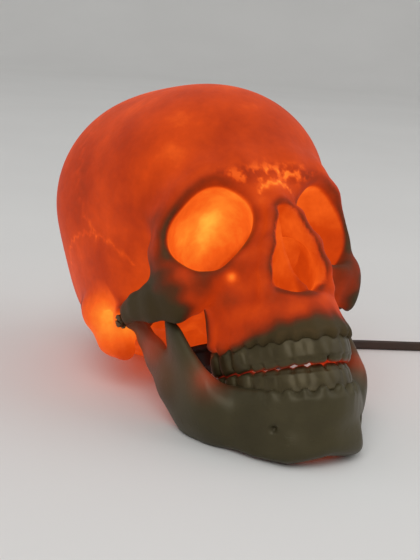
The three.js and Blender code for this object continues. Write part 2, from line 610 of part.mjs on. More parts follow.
function teeth(name) {
  const [arch, ridgeFace, tipAt] = rows[name];
  const reach = crownReach(arch);
  const upper = name === 'upper';
  let row = strip(name, 0);
  const total = crownWidthShares.reduce((sum, share) => sum + share, 0);
  let travelled = 0;
  crownWidthShares.forEach((share, index) => {
    const width = reach * share / total;
    const point = archPoint(arch, travelled + width / 2);
    travelled += width;
    const cutting = index < 3;
    const depth = cutting ? crown.incisorDepth : crown.depth;
    const base = ridgeFace(point.y) + (upper ? -clearance : clearance);
    for (const hand of [-1, 1]) {
      const made = crownSolid(width + crown.neck, depth, cutting ? cuttingRingShares : crownRingShares, base,
        tipAt(point.y));
      made.rotateZ(hand * -point.heading);
      made.translate(hand * point.x, -point.y, 0);
      row = row.add(solid(made));
    }
  });
  return row;
}

// Skull group: local axes x left, y back, z up, turned so that the face looks up
const object = new THREE.Group();
const skullGroup = new THREE.Group();
object.add(skullGroup);

const ridgeLevel = (share, slopeShare, y) => up(share) - (y - forward(ridgeShares.from)) * slopeShare;
const upperFace = (y) => ridgeLevel(ridgeShares.upper, biteShares.slope, y) - upperArch.ridgeTall;
const lowerFace = (y) => ridgeLevel(ridgeShares.lower, biteShares.lowerSlope, y) + lowerArch.ridgeTall;
const archFront = forward(archCentreShare) + upperArch.run;
const upperTip = (y) => up(biteShares.height) + (archFront - y) * biteShares.slope;
const lowerTip = (y) => upperTip(y) - bite.touch - max(y - forward(archCentreShare), 0) * biteShares.opening;

// One row of samples runs down the middle of the thin cheek arches
const archSide = side(rodShares.cheekArch[4][0]);
const sideStep = archSide / Math.round(archSide / sample.side);
const sideCount = Math.ceil((side(0.5) + sample.margin) / sideStep);
const jawHalfSide = hingePlace[0] + hinge.halfLength + sample.margin;
const sideRow = (half, step) => {
  const count = Math.round(half / step);
  return Array.from({ length: 2 * count + 1 }, (_, i) => (i - count) * half / count);
};
const skullBack = forward(eggShares.occipital[0][1] - eggShares.occipital[1][1]) - sample.margin;
const skullFront = archFront + upperArch.ridgeHalf + sample.margin;
const skullTop = up(eggShares.parietal[0][2] + eggShares.parietal[1][2]) + sample.margin;
const skullLow = upperFace(skullFront) - sample.margin;

let jawSolid = surface(jaw, [sideRow(jawHalfSide, sample.jaw),
  spread(hingePlace[1] - hinge.radius - sample.margin, skullFront, sample.jaw),
  spread(up(rodShares.chin[0][2]) - rodGirth.jawBody - sample.margin, hingePlace[2] + hinge.radius + sample.margin,
    sample.jaw)]);

// Rows of teeth: arch, level of the jaw's face, level of the crowns' tips, lean
const rows = {
  upper: [upperArch, upperFace, upperTip, biteShares.slope],
  lower: [lowerArch, lowerFace, lowerTip, biteShares.lowerSlope],
};

let craniumSolid = surface(cranium, [sideRow(sideCount * sideStep, sideStep),
  twoRates(skullBack, forward(faceFromShare), skullFront, sample.wide, sample.fine),
  twoRates(skullLow, up(faceUpShare), skullTop, sample.fine, sample.wide)]);

// The skull tips back until the back of its head and the corners of its jaw lie on the floor
function lowestAt(manifold, angle) {
  const { vertProperties, numProp } = manifold.getMesh();
  let lowest = Infinity;
  for (let i = 0; i < vertProperties.length; i += numProp) {
    lowest = min(lowest, vertProperties[i + 2] * cos(angle) - vertProperties[i + 1] * sin(angle));
  }
  return lowest;
}
let restTilt = 0;
for (let step = PI / 4; step > radians(0.001); step /= 2) {
  const angle = restTilt + step;
  if (lowestAt(jawSolid, angle) < lowestAt(craniumSolid, angle)) restTilt = angle;
}
const floorLevel = lowestAt(jawSolid, restTilt) + restFlat;
skullGroup.rotation.x = -restTilt;
skullGroup.updateMatrixWorld(true);
const toLocal = skullGroup.matrixWorld.clone().invert();
const floorBlock = solid(new THREE.BoxGeometry(2 * skull.breadth, 2 * skull.length, skull.height)
  .translate(0, 0, floorLevel - skull.height / 2).applyMatrix4(toLocal));

// Screws, washers and holes of the jaw joint, along x on each side
const alongX = (geometry) => geometry.rotateY(PI / 2).translate(0, -hingePlace[1], hingePlace[2]);
const condyleOut = hingePlace[0] + hinge.halfLength;
const condyleIn = hingePlace[0] - hinge.halfLength;
const screwTip = condyleIn - hinge.play - hinge.screwIn;
const washerOut = condyleOut + clearance + hinge.washer;
const mirrorX = (manifold) => {
  const { vertProperties, triVerts, numProp } = manifold.getMesh();
  const flipped = vertProperties.map((value, i) => (i % numProp ? value : -value));
  const turnedRound = triVerts.map((_, i) => triVerts[i - i % 3 + 2 - i % 3]);
  return new wasm.Manifold(new wasm.Mesh({ numProp, vertProperties: flipped, triVerts: turnedRound }));
};
const bothSides = (manifold) => manifold.add(mirrorX(manifold));
const screwHole = bothSides(solid(alongX(cylinder(hinge.screw + clearance, screwTip - clearance,
  washerOut + overrun, 12))));

// Levels along the lamp's axis, which is square to the skull's base
const lampBack = -forward(footForwardShare);
const seatLevel = up(footSeatShare);
const collarTop = seatLevel + collar.tall;
const flangeTop = seatLevel - clearance;
const flangeLow = flangeTop - foot.flangeTall;
const neckTop = collarTop + foot.neckOver;
const holderLow = neckTop - holder.below;
const holderTop = holderLow + holder.tall;
const ringLow = neckTop + clip.thick + 2 * clearance;
const deep = skull.height / 2;
const onAxis = (geometry) => geometry.translate(0, lampBack, 0);

function craniumShell() {
  let shell = craniumSolid.subtract(floorBlock);
  shell = shell.subtract(surface(lampHollow, [sideRow(side(0.5) + sample.margin, sample.cavity),
    spread(skullBack, skullFront, sample.cavity), spread(skullLow, skullTop, sample.cavity)]));
  shell = shell.add(solid(onAxis(cylinder(collar.radius, seatLevel, collarTop))));
  shell = shell.subtract(solid(onAxis(cylinder(foot.flange + 2 * clearance, seatLevel - deep, seatLevel))));
  shell = shell.subtract(solid(onAxis(cylinder(foot.neck + clearance, seatLevel - overrun, collarTop + deep / 2))));
  const outline = new THREE.Shape(nosePlateShares.map(([ahead, rise]) => new THREE.Vector2(forward(ahead), up(rise))));
  const plate = new THREE.ExtrudeGeometry(outline, { depth: nose.plate, bevelEnabled: false });
  plate.translate(0, 0, -nose.plate / 2).rotateX(PI / 2).rotateZ(-PI / 2);
  shell = shell.add(solid(plate));
  const ear = cylinder(earHole.radius, side(earShares.inner), side(1), 12).rotateY(PI / 2)
    .translate(0, -forward(earShares.forward), up(earShares.up));
  const jointRoom = cylinder(hinge.radius + hinge.play, condyleIn - hinge.play, side(1), 16);
  shell = shell.subtract(bothSides(solid(ear))).subtract(bothSides(solid(alongX(jointRoom)))).subtract(screwHole);
  return shell.subtract(groove('upper'));
}

// The strip under a row of teeth, and the groove and the room above it that the jaw leaves free
const stripLow = (name) => {
  const face = rows[name][1](forward(ridgeShares.from));
  return name === 'upper' ? face + toothStrip.set - toothStrip.tall : face - toothStrip.set;
};
const strip = (name, grow) => solid(stripSolid(rows[name][0], toothStrip.width, stripLow(name),
  stripLow(name) + toothStrip.tall, rows[name][3], archBackShares.upper, grow));
const groove = (name) => {
  const face = rows[name][1](forward(ridgeShares.from));
  const low = name === 'upper' ? face - toothStrip.room : face;
  const room = stripSolid(rows[name][0], toothStrip.roomWidth, low, low + toothStrip.room, rows[name][3],
    archBackShares.upper);
  return strip(name, clearance).add(solid(room));
};

const bone = material('bone', 0.45);
mesh('cranium', craniumShell(), bone, skullGroup);
jawSolid = jawSolid.subtract(floorBlock).subtract(screwHole).subtract(groove('lower'));
mesh('mandible', jawSolid, bone.clone(), skullGroup);
for (const name of ['upper', 'lower']) {
  mesh(`${name}_teeth`, teeth(name), material('teeth', 0.3), skullGroup);
}

const screw = turned([[0, screwTip], [hinge.screw, screwTip], [hinge.screw, washerOut + clearance],
  [hinge.headRadius, washerOut + clearance], [hinge.headRadius, washerOut + clearance + hinge.headTall],
  [0, washerOut + clearance + hinge.headTall]], 12);
const washer = tube(hinge.washerRadius, hinge.screw + clearance, condyleOut + clearance, washerOut, 12);
for (const [hand, turn] of [['left', 1], ['right', -1]]) {
  for (const [name, form] of [['jaw_screw', screw], ['jaw_washer', washer]]) {
    const placed = solid(alongX(form.clone()));
    mesh(`${name}_${hand}`, turn > 0 ? placed : mirrorX(placed), material('metal', 0.35, 1), skullGroup);
  }
}

// Lamp foot: flange, neck through the collar, and a cup below for the cord's gland
const exitWay = new THREE.Vector3(cos(radians(gland.exit)), sin(radians(gland.exit)), 0);
const cupLow = flangeLow - foot.cupTall;
const glandFrom = foot.cup - foot.wall - gland.bury;
function alongExit(geometry) {
  const turn = new THREE.Quaternion().setFromUnitVectors(new THREE.Vector3(0, 0, 1), exitWay);
  return geometry.applyQuaternion(turn).translate(0, lampBack, cupLow + gland.rise);
}
const glandHole = solid(alongExit(cylinder(gland.radius + clearance, foot.cup / 2, foot.cup * 2, 12)));
let footSolid = solid(onAxis(turned([[0, cupLow], [foot.cup, cupLow], [foot.cup, flangeLow], [foot.flange, flangeLow],
  [foot.flange, flangeTop], [foot.neck, flangeTop], [foot.neck, neckTop], [holder.outer + clearance, neckTop],
  [holder.outer + clearance, flangeTop], [foot.cup - foot.wall, flangeTop], [foot.cup - foot.wall, cupLow + foot.wall],
  [0, cupLow + foot.wall]], 24)));
footSolid = footSolid.subtract(glandHole);
mesh('lamp_foot', footSolid, material('black', 0.5), skullGroup);
mesh('cord_gland', alongExit(turned([[0, glandFrom], [gland.radius, glandFrom], [gland.radius, foot.cup + gland.bury],
  [gland.tipRadius, glandFrom + gland.length], [0, glandFrom + gland.length]], 12)), material('black', 0.6), skullGroup);

// Spring clips over the collar, and the ring that holds them and the lampholder
for (const [hand, turn] of [['left', 0], ['right', PI]]) {
  const low = neckTop + clearance;
  const out = foot.neck + clearance + clip.reach;
  const outline = new THREE.Shape([[foot.neck - clip.under, low], [foot.neck, low],
    [out - clip.thick, collarTop + clearance], [out, collarTop + clearance], [out, collarTop + clearance + clip.thick],
    [foot.neck + clip.thick / 2, low + clip.thick], [foot.neck - clip.under, low + clip.thick]]
    .map(([x, z]) => new THREE.Vector2(x, z)));
  const form = new THREE.ExtrudeGeometry(outline, { depth: clip.width, bevelEnabled: false });
  form.translate(0, 0, -clip.width / 2).rotateX(PI / 2).rotateZ(turn);
  mesh(`retaining_clip_${hand}`, onAxis(form), material('metal', 0.3, 1), skullGroup);
}
mesh('holder_ring', onAxis(tube(holder.ring, holder.outer + clearance, ringLow, ringLow + holder.ringTall)),
  material('black', 0.5), skullGroup);
mesh('lampholder', onAxis(turned([[0, holderLow], [holder.outer, holderLow], [holder.outer, holderTop],
  [holder.bore, holderTop], [holder.bore, holderLow + holder.floor], [0, holderLow + holder.floor]])),
material('porcelain', 0.4), skullGroup);
const linerTop = holderTop - shellLiner.drop;
mesh('screw_shell', onAxis(tube(shellLiner.outer, shellLiner.inner, linerTop - shellLiner.tall, linerTop)),
  material('brass', 0.35, 1), skullGroup);
const contactLow = holderLow + holder.floor + clearance;
mesh('centre_contact', onAxis(cylinder(contact.radius, contactLow, contactLow + contact.tall, 16)),
  material('brass', 0.35, 1), skullGroup);

// Bulb: contact tip, insulator, screw cap, open-necked glass, glass stem and filament
const tipLow = contactLow + contact.tall + clearance;
const capLow = tipLow + bulb.tipTall + clearance;
const capTop = capLow + bulb.capTall;
const glassLow = capTop - bulb.inCap;
const glassTop = glassLow + bulb.tall;
mesh('bulb_tip', onAxis(cylinder(bulb.tip, tipLow, tipLow + bulb.tipTall, 12)), material('brass', 0.4, 1), skullGroup);
mesh('bulb_insulator', onAxis(cylinder(bulb.insulator, capLow, capLow + bulb.insulatorTall, 16)),
  material('black', 0.2), skullGroup);
mesh('bulb_cap', onAxis(turned([[bulb.insulator + clearance, capLow], [bulb.cap, capLow], [bulb.cap, capTop],
  [bulb.cap - bulb.capWall, capTop], [bulb.cap - bulb.capWall, capLow + bulb.capWall],
  [bulb.insulator + clearance, capLow + bulb.capWall]])), material('metal', 0.35, 1), skullGroup);
const ballCentre = glassTop - bulb.radius;
function glassLine(inset) {
  const radius = bulb.radius - inset;
  const steps = 6;
  const start = Math.asin((bulb.neck - inset) / radius) - PI / 2;
  return Array.from({ length: steps + 1 }, (_, i) => {
    const angle = start + (PI / 2 - start) * i / steps;
    return [i === steps ? 0 : radius * cos(angle), ballCentre + radius * sin(angle)];
  });
}
mesh('bulb_glass', onAxis(turned([[bulb.neck - bulb.glass, glassLow], [bulb.neck, glassLow], ...glassLine(0)]
  .concat(glassLine(bulb.glass).reverse()).concat([[bulb.neck - bulb.glass, glassLow]]), 16)),
material('glass', 0.1), skullGroup);
const stemFoot = bulb.neck - bulb.glass - clearance;
const stemTop = glassLow + bulb.stemTall;
mesh('bulb_stem', onAxis(turned([[0, glassLow], [stemFoot, glassLow], [stemFoot, glassLow + bulb.stemFoot],
  [bulb.stem, glassLow + 2 * bulb.stemFoot], [bulb.stem / 2, stemTop], [0, stemTop]], 12)),
material('glass', 0.1), skullGroup);
const halfSpan = bulb.filamentSpan / 2;
const filamentLine = new THREE.CatmullRomCurve3([[-bulb.wire, 0], [-halfSpan, bulb.filamentRise / 2],
  [-halfSpan, bulb.filamentRise], [0, bulb.filamentRise - bulb.wire], [halfSpan, bulb.filamentRise],
  [halfSpan, bulb.filamentRise / 2], [bulb.wire + bulb.wire, 0]]
  .map(([x, z]) => new THREE.Vector3(x, lampBack, stemTop + clearance + bulb.wire + z)));
const wireSection = new THREE.Shape(Array.from({ length: 6 }, (_, i) => new THREE.Vector2(
  bulb.wire * cos(PI * i / 3), bulb.wire * sin(PI * i / 3))));
mesh('bulb_filament', new THREE.ExtrudeGeometry(wireSection,
  { steps: 18, bevelEnabled: false, extrudePath: filamentLine }), material('filament', 0.4, 1), skullGroup);

// Pieces on the floor, placed under the middle of the ear line
const floorGroup = new THREE.Group();
floorGroup.position.z = floorLevel;
object.add(floorGroup);

// A flat tube along a row of points, standing on its edge and square to its way
function flatTube(points, wide, tall, sides) {
  const vertices = [];
  const triangles = [];
  points.forEach((point, i) => {
    const way = points[min(i + 1, points.length - 1)].clone().sub(points[max(i - 1, 0)]).normalize();
    const across = new THREE.Vector3(way.y, -way.x, 0).normalize();
    const rise = new THREE.Vector3().crossVectors(across, way);
    for (let n = 0; n < sides; n++) {
      const angle = PI / 2 + 2 * PI * n / sides;
      vertices.push(...point.clone().addScaledVector(across, wide / 2 * cos(angle))
        .addScaledVector(rise, tall / 2 * sin(angle)));
    }
  });
  for (let i = 0; i + 1 < points.length; i++) {
    for (let n = 0; n < sides; n++) {
      const [a, b] = [i * sides + n, i * sides + (n + 1) % sides];
      triangles.push(a, b + sides, b, a, a + sides, b + sides);
    }
  }
  const last = (points.length - 1) * sides;
  for (let n = 1; n + 1 < sides; n++) triangles.push(0, n, n + 1, last, last + n + 1, last + n);
  const geometry = new THREE.BufferGeometry();
  geometry.setAttribute('position', new THREE.Float32BufferAttribute(vertices, 3));
  geometry.setIndex(triangles);
  return geometry;
}

const glandWay = exitWay.clone().transformDirection(skullGroup.matrixWorld);
const glandTip = exitWay.clone().multiplyScalar(glandFrom + gland.length + clearance)
  .add(new THREE.Vector3(0, lampBack, cupLow + gland.rise)).applyMatrix4(skullGroup.matrixWorld);
glandTip.z -= floorLevel;
const leadPoints = [glandTip.clone().addScaledVector(glandWay, cord.width),
  ...leadRoute.map((point) => new THREE.Vector3(...point))];
const leadEnd = leadPoints.pop();
const lead = new THREE.CatmullRomCurve3(leadPoints, false, 'centripetal');
const leadWay = leadEnd.clone().sub(leadPoints.at(-1)).normalize();
const leadLine = [glandTip, ...lead.getSpacedPoints(Math.round(lead.getLength() / cord.step)), leadEnd];
mesh('cord_lead', flatTube(leadLine, cord.thick, cord.width, cord.sides), material('cordPlastic', 0.5), floorGroup);

// Switch: two shells, a roller between them, and two screws
const switchGroup = new THREE.Group();
const switchStart = leadEnd.clone().addScaledVector(leadWay, clearance);
switchGroup.position.copy(switchStart).addScaledVector(leadWay, switchCase.length / 2).setZ(0);
switchGroup.rotation.z = Math.atan2(leadWay.y, leadWay.x);
floorGroup.add(switchGroup);
function roundedOutline(length, width, round) {
  const [x, y] = [length / 2, width / 2];
  const outline = new THREE.Shape();
  outline.moveTo(x - round, -y);
  outline.absarc(x - round, round - y, round, -PI / 2, 0);
  outline.absarc(x - round, y - round, round, 0, PI / 2);
  outline.absarc(round - x, y - round, round, PI / 2, PI);
  outline.absarc(round - x, round - y, round, PI, PI * 1.5);
  return outline;
}
const rounded = (length, width, round, low, high) => new THREE.ExtrudeGeometry(roundedOutline(length, width, round),
  { depth: high - low, bevelEnabled: false, curveSegments: 3 }).translate(0, 0, low);
const half = switchCase.height / 2;
const rollerAt = -(switchCase.width / 2 + roller.out - roller.radius);
const pocket = solid(cylinder(roller.radius + roller.play, half - roller.thick / 2 - roller.play,
  half + roller.thick / 2 + roller.play, 14).translate(0, rollerAt, 0));
const axleHole = solid(cylinder(roller.axle + clearance, half - roller.thick / 2 - roller.axleTall - roller.play,
  half + roller.thick / 2 + roller.axleTall + roller.play, 8).translate(0, rollerAt, 0));
const screwPlaces = [-1, 1].map((hand) => [hand * (switchCase.length / 2 - switchCase.side), 0]);
const screwTop = switchCase.height - switchCase.screwSink;
function screwForm(grow) {
  return turned([[0, switchCase.height - switchCase.screwSink - switchCase.screwIn - grow],
    [switchCase.screw + grow, switchCase.height - switchCase.screwSink - switchCase.screwIn - grow],
    [switchCase.screw + grow, screwTop - grow], [switchCase.screwHead + grow, screwTop - grow],
    [switchCase.screwHead + grow, switchCase.height - clearance + (grow && overrun)],
    [0, switchCase.height - clearance + (grow && overrun)]], 8);
}
for (const [name, low, high] of [['switch_lower', 0, half - clearance / 2],
  ['switch_upper', half + clearance / 2, switchCase.height]]) {
  let shell = solid(rounded(switchCase.length, switchCase.width, switchCase.round, low, high));
  shell = shell.subtract(pocket).subtract(axleHole);
  for (const [x, y] of screwPlaces) shell = shell.subtract(solid(screwForm(clearance).translate(x, y, 0)));
  mesh(name, shell, material('switchPlastic', 0.45), switchGroup);
}
screwPlaces.forEach(([x, y], i) => mesh(`switch_screw_${i + 1}`, screwForm(0).translate(x, y, 0),
  material('metal', 0.35, 1), switchGroup));
const rollerForm = turned([[0, -roller.thick / 2 - roller.axleTall], [roller.axle, -roller.thick / 2 - roller.axleTall],
  [roller.axle, -roller.thick / 2], [roller.radius, -roller.thick / 2], [roller.radius, roller.thick / 2],
  [roller.axle, roller.thick / 2], [roller.axle, roller.thick / 2 + roller.axleTall],
  [0, roller.thick / 2 + roller.axleTall]], 14);
mesh('switch_roller', rollerForm.translate(0, rollerAt, half), material('black', 0.5), switchGroup);

// Coil: one flat tube that spirals in, climbs a layer over half a turn and spirals out again
const pitch = cord.thick + coil.gap;
const lowLayer = tie.thick + tie.ease + cord.width / 2;
const highLayer = lowLayer + cord.width + coil.gap;
const outerRadius = coil.innerRadius + coil.turns * pitch;
const coilStart = switchStart.clone().addScaledVector(leadWay, switchCase.length + clearance);
const coilTouch = coilStart.clone().addScaledVector(leadWay, coil.approach);
const coilCentre = new THREE.Vector3(coilTouch.x + leadWay.y * outerRadius, coilTouch.y - leadWay.x * outerRadius, 0);
const coilFrom = Math.atan2(leadWay.x, -leadWay.y);
const eased = (share) => share * share * (3 - 2 * share);
const coilPoints = [coilStart.clone().setZ(half)];
const dropSteps = 5;
for (let i = 0; i <= dropSteps; i++) {
  coilPoints.push(coilStart.clone().addScaledVector(leadWay, cord.width + coil.drop * i / dropSteps)
    .setZ(half + (lowLayer - half) * eased(i / dropSteps)));
}
const coilSteps = Math.round((2 * coil.turns + 0.5) * coil.stepsPerTurn);
for (let i = 0; i <= coilSteps; i++) {
  const turns = i / coil.stepsPerTurn;
  const climb = clamp((turns - coil.turns) * 2, 0, 1);
  const radius = turns < coil.turns ? outerRadius - turns * pitch
    : coil.innerRadius + max(turns - coil.turns - 0.5, 0) * pitch - sin(PI * climb) * pitch;
  const angle = coilFrom - 2 * PI * turns;
  coilPoints.push(new THREE.Vector3(coilCentre.x + radius * cos(angle), coilCentre.y + radius * sin(angle),
    lowLayer + (highLayer - lowLayer) * eased(climb)));
}
const tailWay = coilPoints.at(-1).clone().sub(coilPoints.at(-2)).setZ(0).normalize();
const plugLevel = plug.thick / 2;
const tailEnd = coilPoints.at(-1).clone().addScaledVector(tailWay, coil.tail).setZ(plugLevel);
coilPoints.push(tailEnd.clone().addScaledVector(tailWay, -cord.width), tailEnd);

mesh('cord_coil', flatTube(coilPoints, cord.thick, cord.width, coil.sides), material('cordPlastic', 0.5), floorGroup);

// Least gap between turns, measured between the flat tube's middle points on neighbouring turns
let leastGap = Infinity;
for (let i = 0; i < coilPoints.length; i++) {
  for (let j = i + coil.stepsPerTurn / 2; j < coilPoints.length; j++) {
    const apart = coilPoints[i].clone().sub(coilPoints[j]);
    leastGap = min(leastGap, max(hypot(apart.x, apart.y) - cord.thick, abs(apart.z) - cord.width));
  }
}
const coilLength = new THREE.CurvePath();
for (let i = 0; i + 1 < coilPoints.length; i++) coilLength.add(new THREE.LineCurve3(coilPoints[i], coilPoints[i + 1]));
const cordLength = lead.getLength() + coilLength.getLength() + switchCase.length;
console.log(`rest tilt ${THREE.MathUtils.radToDeg(restTilt).toFixed(2)} degrees`);
console.log(`coil: least gap ${leastGap.toFixed(2)} mm; cord: ${cordLength.toFixed(0)} mm long`);

// Tie round the coil's bundle of turns
const bundle = [outerRadius - coil.innerRadius + cord.thick, highLayer - lowLayer + cord.width];
const tieOuter = new THREE.Shape([[-1, -1], [1, -1], [1, 1], [-1, 1]].map(([x, y]) => new THREE.Vector2(
  x * (bundle[0] / 2 + tie.ease + tie.thick), y * (bundle[1] / 2 + tie.ease + tie.thick))));
tieOuter.holes.push(new THREE.Path([[-1, -1], [-1, 1], [1, 1], [1, -1]].map(([x, y]) => new THREE.Vector2(
  x * (bundle[0] / 2 + tie.ease), y * (bundle[1] / 2 + tie.ease)))));
const tieForm = new THREE.ExtrudeGeometry(tieOuter, { depth: tie.width, bevelEnabled: false });
tieForm.translate(0, 0, -tie.width / 2).rotateX(PI / 2).rotateZ(radians(tie.at));
const tieReach = (outerRadius + coil.innerRadius) / 2;
tieForm.translate(coilCentre.x + tieReach * cos(radians(tie.at)), coilCentre.y + tieReach * sin(radians(tie.at)),
  (lowLayer + highLayer) / 2);
mesh('cord_tie', tieForm, material('black', 0.7), floorGroup);

// Plug with two flat blades
const plugGroup = new THREE.Group();
plugGroup.position.copy(tailEnd).addScaledVector(tailWay, clearance);
plugGroup.rotation.z = Math.atan2(tailWay.y, tailWay.x);
floorGroup.add(plugGroup);
const plugShape = new THREE.Shape([[0, plug.noseWidth / 2], [plug.nose, plug.noseWidth / 2],
  [plug.nose + plug.round, plug.width / 2], [plug.length, plug.width / 2], [plug.length, -plug.width / 2],
  [plug.nose + plug.round, -plug.width / 2], [plug.nose, -plug.noseWidth / 2], [0, -plug.noseWidth / 2]]
  .map(([x, y]) => new THREE.Vector2(x, y)));
mesh('plug_body', new THREE.ExtrudeGeometry(plugShape, { depth: plug.thick, bevelEnabled: false })
  .translate(0, 0, -plug.thick / 2), material('switchPlastic', 0.45), plugGroup);
for (const [hand, sideSign] of [['left', 1], ['right', -1]]) {
  mesh(`plug_blade_${hand}`, new THREE.BoxGeometry(plug.blade, plug.bladeThick, plug.bladeWidth)
    .translate(plug.length + clearance + plug.blade / 2, sideSign * plug.bladeApart / 2, 0),
  material('brass', 0.35, 1), plugGroup);
}

// The object stands on z = 0, with the middle of the skull and its lamp over the origin
object.updateMatrixWorld(true);
const reach = new THREE.Box3();
skullGroup.children.forEach((child) => reach.expandByObject(child, true));
const middle = reach.getCenter(new THREE.Vector3());
for (const group of [skullGroup, floorGroup]) {
  group.position.y -= middle.y;
  group.position.z -= floorLevel;
}
object.updateMatrixWorld(true);

export default object;
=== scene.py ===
"""Looks of a life-size electric skull lamp: a glowing shell, dark jaw and teeth, and a flat twin cord."""
import math
from functools import partial
import bmesh
import bpy
import numpy as np
from mathutils import Matrix, Vector


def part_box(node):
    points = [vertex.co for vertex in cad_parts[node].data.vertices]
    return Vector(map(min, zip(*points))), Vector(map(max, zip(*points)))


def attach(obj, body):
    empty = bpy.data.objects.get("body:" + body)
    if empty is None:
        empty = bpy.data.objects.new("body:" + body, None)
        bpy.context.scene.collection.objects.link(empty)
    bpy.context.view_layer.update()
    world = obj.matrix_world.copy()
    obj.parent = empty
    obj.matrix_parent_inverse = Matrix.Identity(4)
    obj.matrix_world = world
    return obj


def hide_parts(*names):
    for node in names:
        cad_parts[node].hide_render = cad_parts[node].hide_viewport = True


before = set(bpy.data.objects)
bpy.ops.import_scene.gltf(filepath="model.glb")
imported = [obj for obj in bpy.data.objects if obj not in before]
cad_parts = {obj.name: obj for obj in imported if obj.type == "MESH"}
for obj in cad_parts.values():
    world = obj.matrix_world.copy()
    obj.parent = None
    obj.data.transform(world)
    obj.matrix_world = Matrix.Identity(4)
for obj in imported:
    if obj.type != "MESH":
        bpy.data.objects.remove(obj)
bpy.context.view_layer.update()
scene = bpy.context.scene

MM = 0.001


def add_object(name, data):
    made = bpy.data.objects.new(name, data)
    scene.collection.objects.link(made)
    return made


# Camera, from the photograph's angle
LENS_PIXELS, FRAME_TALL = 1100, 560
camera_data = bpy.data.cameras.new("camera")
camera_data.sensor_fit = "VERTICAL"
camera_data.sensor_height = 24
camera_data.lens = LENS_PIXELS * camera_data.sensor_height / FRAME_TALL
camera_data.clip_start, camera_data.clip_end = 0.02, 60
camera = add_object("camera", camera_data)
camera.location = (-0.27099, -0.48009, 0.18619)
camera.rotation_euler = [math.radians(turn) for turn in (76.8904, -4.0021, -28.0784)]
scene.camera = camera
scene.view_settings.view_transform = "Standard"

# The skull's own frame, in millimetres: side, forward and up from the middle of the ear line
TILT = math.radians(32.8725)
EAR_LINE = (0.0, 10.0352, 42.3143)


def to_world(points):
    """Skull frame in millimetres to the part's frame in metres."""
    side, forward, up = np.asarray(points, dtype=float).T
    c, s = math.cos(TILT), math.sin(TILT)
    return MM * np.stack([side + EAR_LINE[0], up * s - forward * c + EAR_LINE[1],
                          up * c + forward * s + EAR_LINE[2]], axis=1)


# Plain pieces: mesh data to objects

def new_mesh(name, vertices, faces, material=None):
    mesh = bpy.data.meshes.new(name)
    mesh.from_pydata([tuple(v) for v in vertices], [], [tuple(f) for f in faces])
    if material:
        mesh.materials.append(material)
    mesh.shade_smooth()
    return mesh


def piece(name, vertices, faces, material, body, node, slot):
    """A mesh in the part's frame, riding on a body in place of a CAD node."""
    mesh = new_mesh(name, vertices, faces, material)
    mesh.validate()
    return dress(add_object(name, mesh), body, node)


def dress(made, body, node):
    """Says which CAD node an object replaces and which body it rides on."""
    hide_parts(node)
    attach(made, body)
    return made


def applied(made, modifier):
    """Gives an object the mesh that its modifier makes."""
    mesh = bpy.data.meshes.new_from_object(made.evaluated_get(bpy.context.evaluated_depsgraph_get()))
    made.modifiers.remove(modifier)
    made.data = mesh


# Node helpers for the finishes

class Finish:
    """One procedural material, built node by node round its Principled shader."""

    def __init__(self, name, **sockets):
        self.material = bpy.data.materials.new(name)
        self.material.use_nodes = True
        self.tree = self.material.node_tree
        self.shader = self.tree.nodes["Principled BSDF"]
        for socket, value in sockets.items():
            self.shader.inputs[socket.replace("_", " ")].default_value = value

    def node(self, kind, **values):
        made = self.tree.nodes.new(kind)
        for key, value in values.items():
            setattr(made, key, value)
        return made

    def link(self, source, target):
        self.tree.links.new(source, target)

    def place(self, scale=(1, 1, 1), turn=(0, 0, 0)):
        mapping = self.node("ShaderNodeMapping")
        mapping.inputs["Rotation"].default_value = turn
        mapping.inputs["Scale"].default_value = scale
        self.link(self.node("ShaderNodeTexCoord").outputs["Object"], mapping.inputs["Vector"])
        return mapping.outputs["Vector"]

    def attribute(self, name):
        return self.node("ShaderNodeAttribute", attribute_name=name).outputs["Fac"]

    def noise(self, scale, detail, rough=0.5, vector=None):
        made = self.node("ShaderNodeTexNoise")
        made.inputs["Scale"].default_value = scale
        made.inputs["Detail"].default_value = detail
        made.inputs["Roughness"].default_value = rough
        self.link(vector or self.place(), made.inputs["Vector"])
        return made.outputs["Fac"]

    def math(self, operation, *inputs, clamp=False):
        made = self.node("ShaderNodeMath", operation=operation, use_clamp=clamp)
        for socket, value in zip(made.inputs, inputs):
            if isinstance(value, (int, float)):
                socket.default_value = value
            else:
                self.link(value, socket)
        return made.outputs[0]

    def ramp(self, fac, stops):
        """Colours between stops of (place, red, green, blue), in 8-bit screen colours."""
        made = self.node("ShaderNodeValToRGB")
        points = made.color_ramp.elements
        while len(points) < len(stops):
            points.new(0.5)
        for point, (at, *colour) in zip(points, stops):
            point.position = at
            point.color = (*srgb(*colour), 1)
        self.link(fac, made.inputs["Fac"])
        return made.outputs["Color"]

    def grey(self, fac, low, high, start=0.0, end=1.0):
        """A value brought from one span, start to end, to another, low to high."""
        made = self.node("ShaderNodeMapRange")
        for socket, value in zip(("From Min", "From Max", "To Min", "To Max"), (start, end, low, high)):
            made.inputs[socket].default_value = value
        self.link(fac, made.inputs["Value"])
        return made.outputs["Result"]

    def colour(self, fac, stops):
        self.link(self.ramp(fac, stops), self.shader.inputs["Base Color"])

    def glow(self, fac, stops):
        self.link(self.ramp(fac, stops), self.shader.inputs["Emission Color"])
        self.shader.inputs["Emission Strength"].default_value = 1.0

    def rough(self, fac, low, high):
        """Roughness by a pattern. The bump that mostly follows is called on what it gives back."""
        self.link(self.grey(fac, low, high), self.shader.inputs["Roughness"])
        return self

    def bump(self, height, strength, distance):
        made = self.node("ShaderNodeBump")
        made.inputs["Strength"].default_value = strength
        made.inputs["Distance"].default_value = distance
        self.link(height, made.inputs["Height"])
        self.link(made.outputs["Normal"], self.shader.inputs["Normal"])


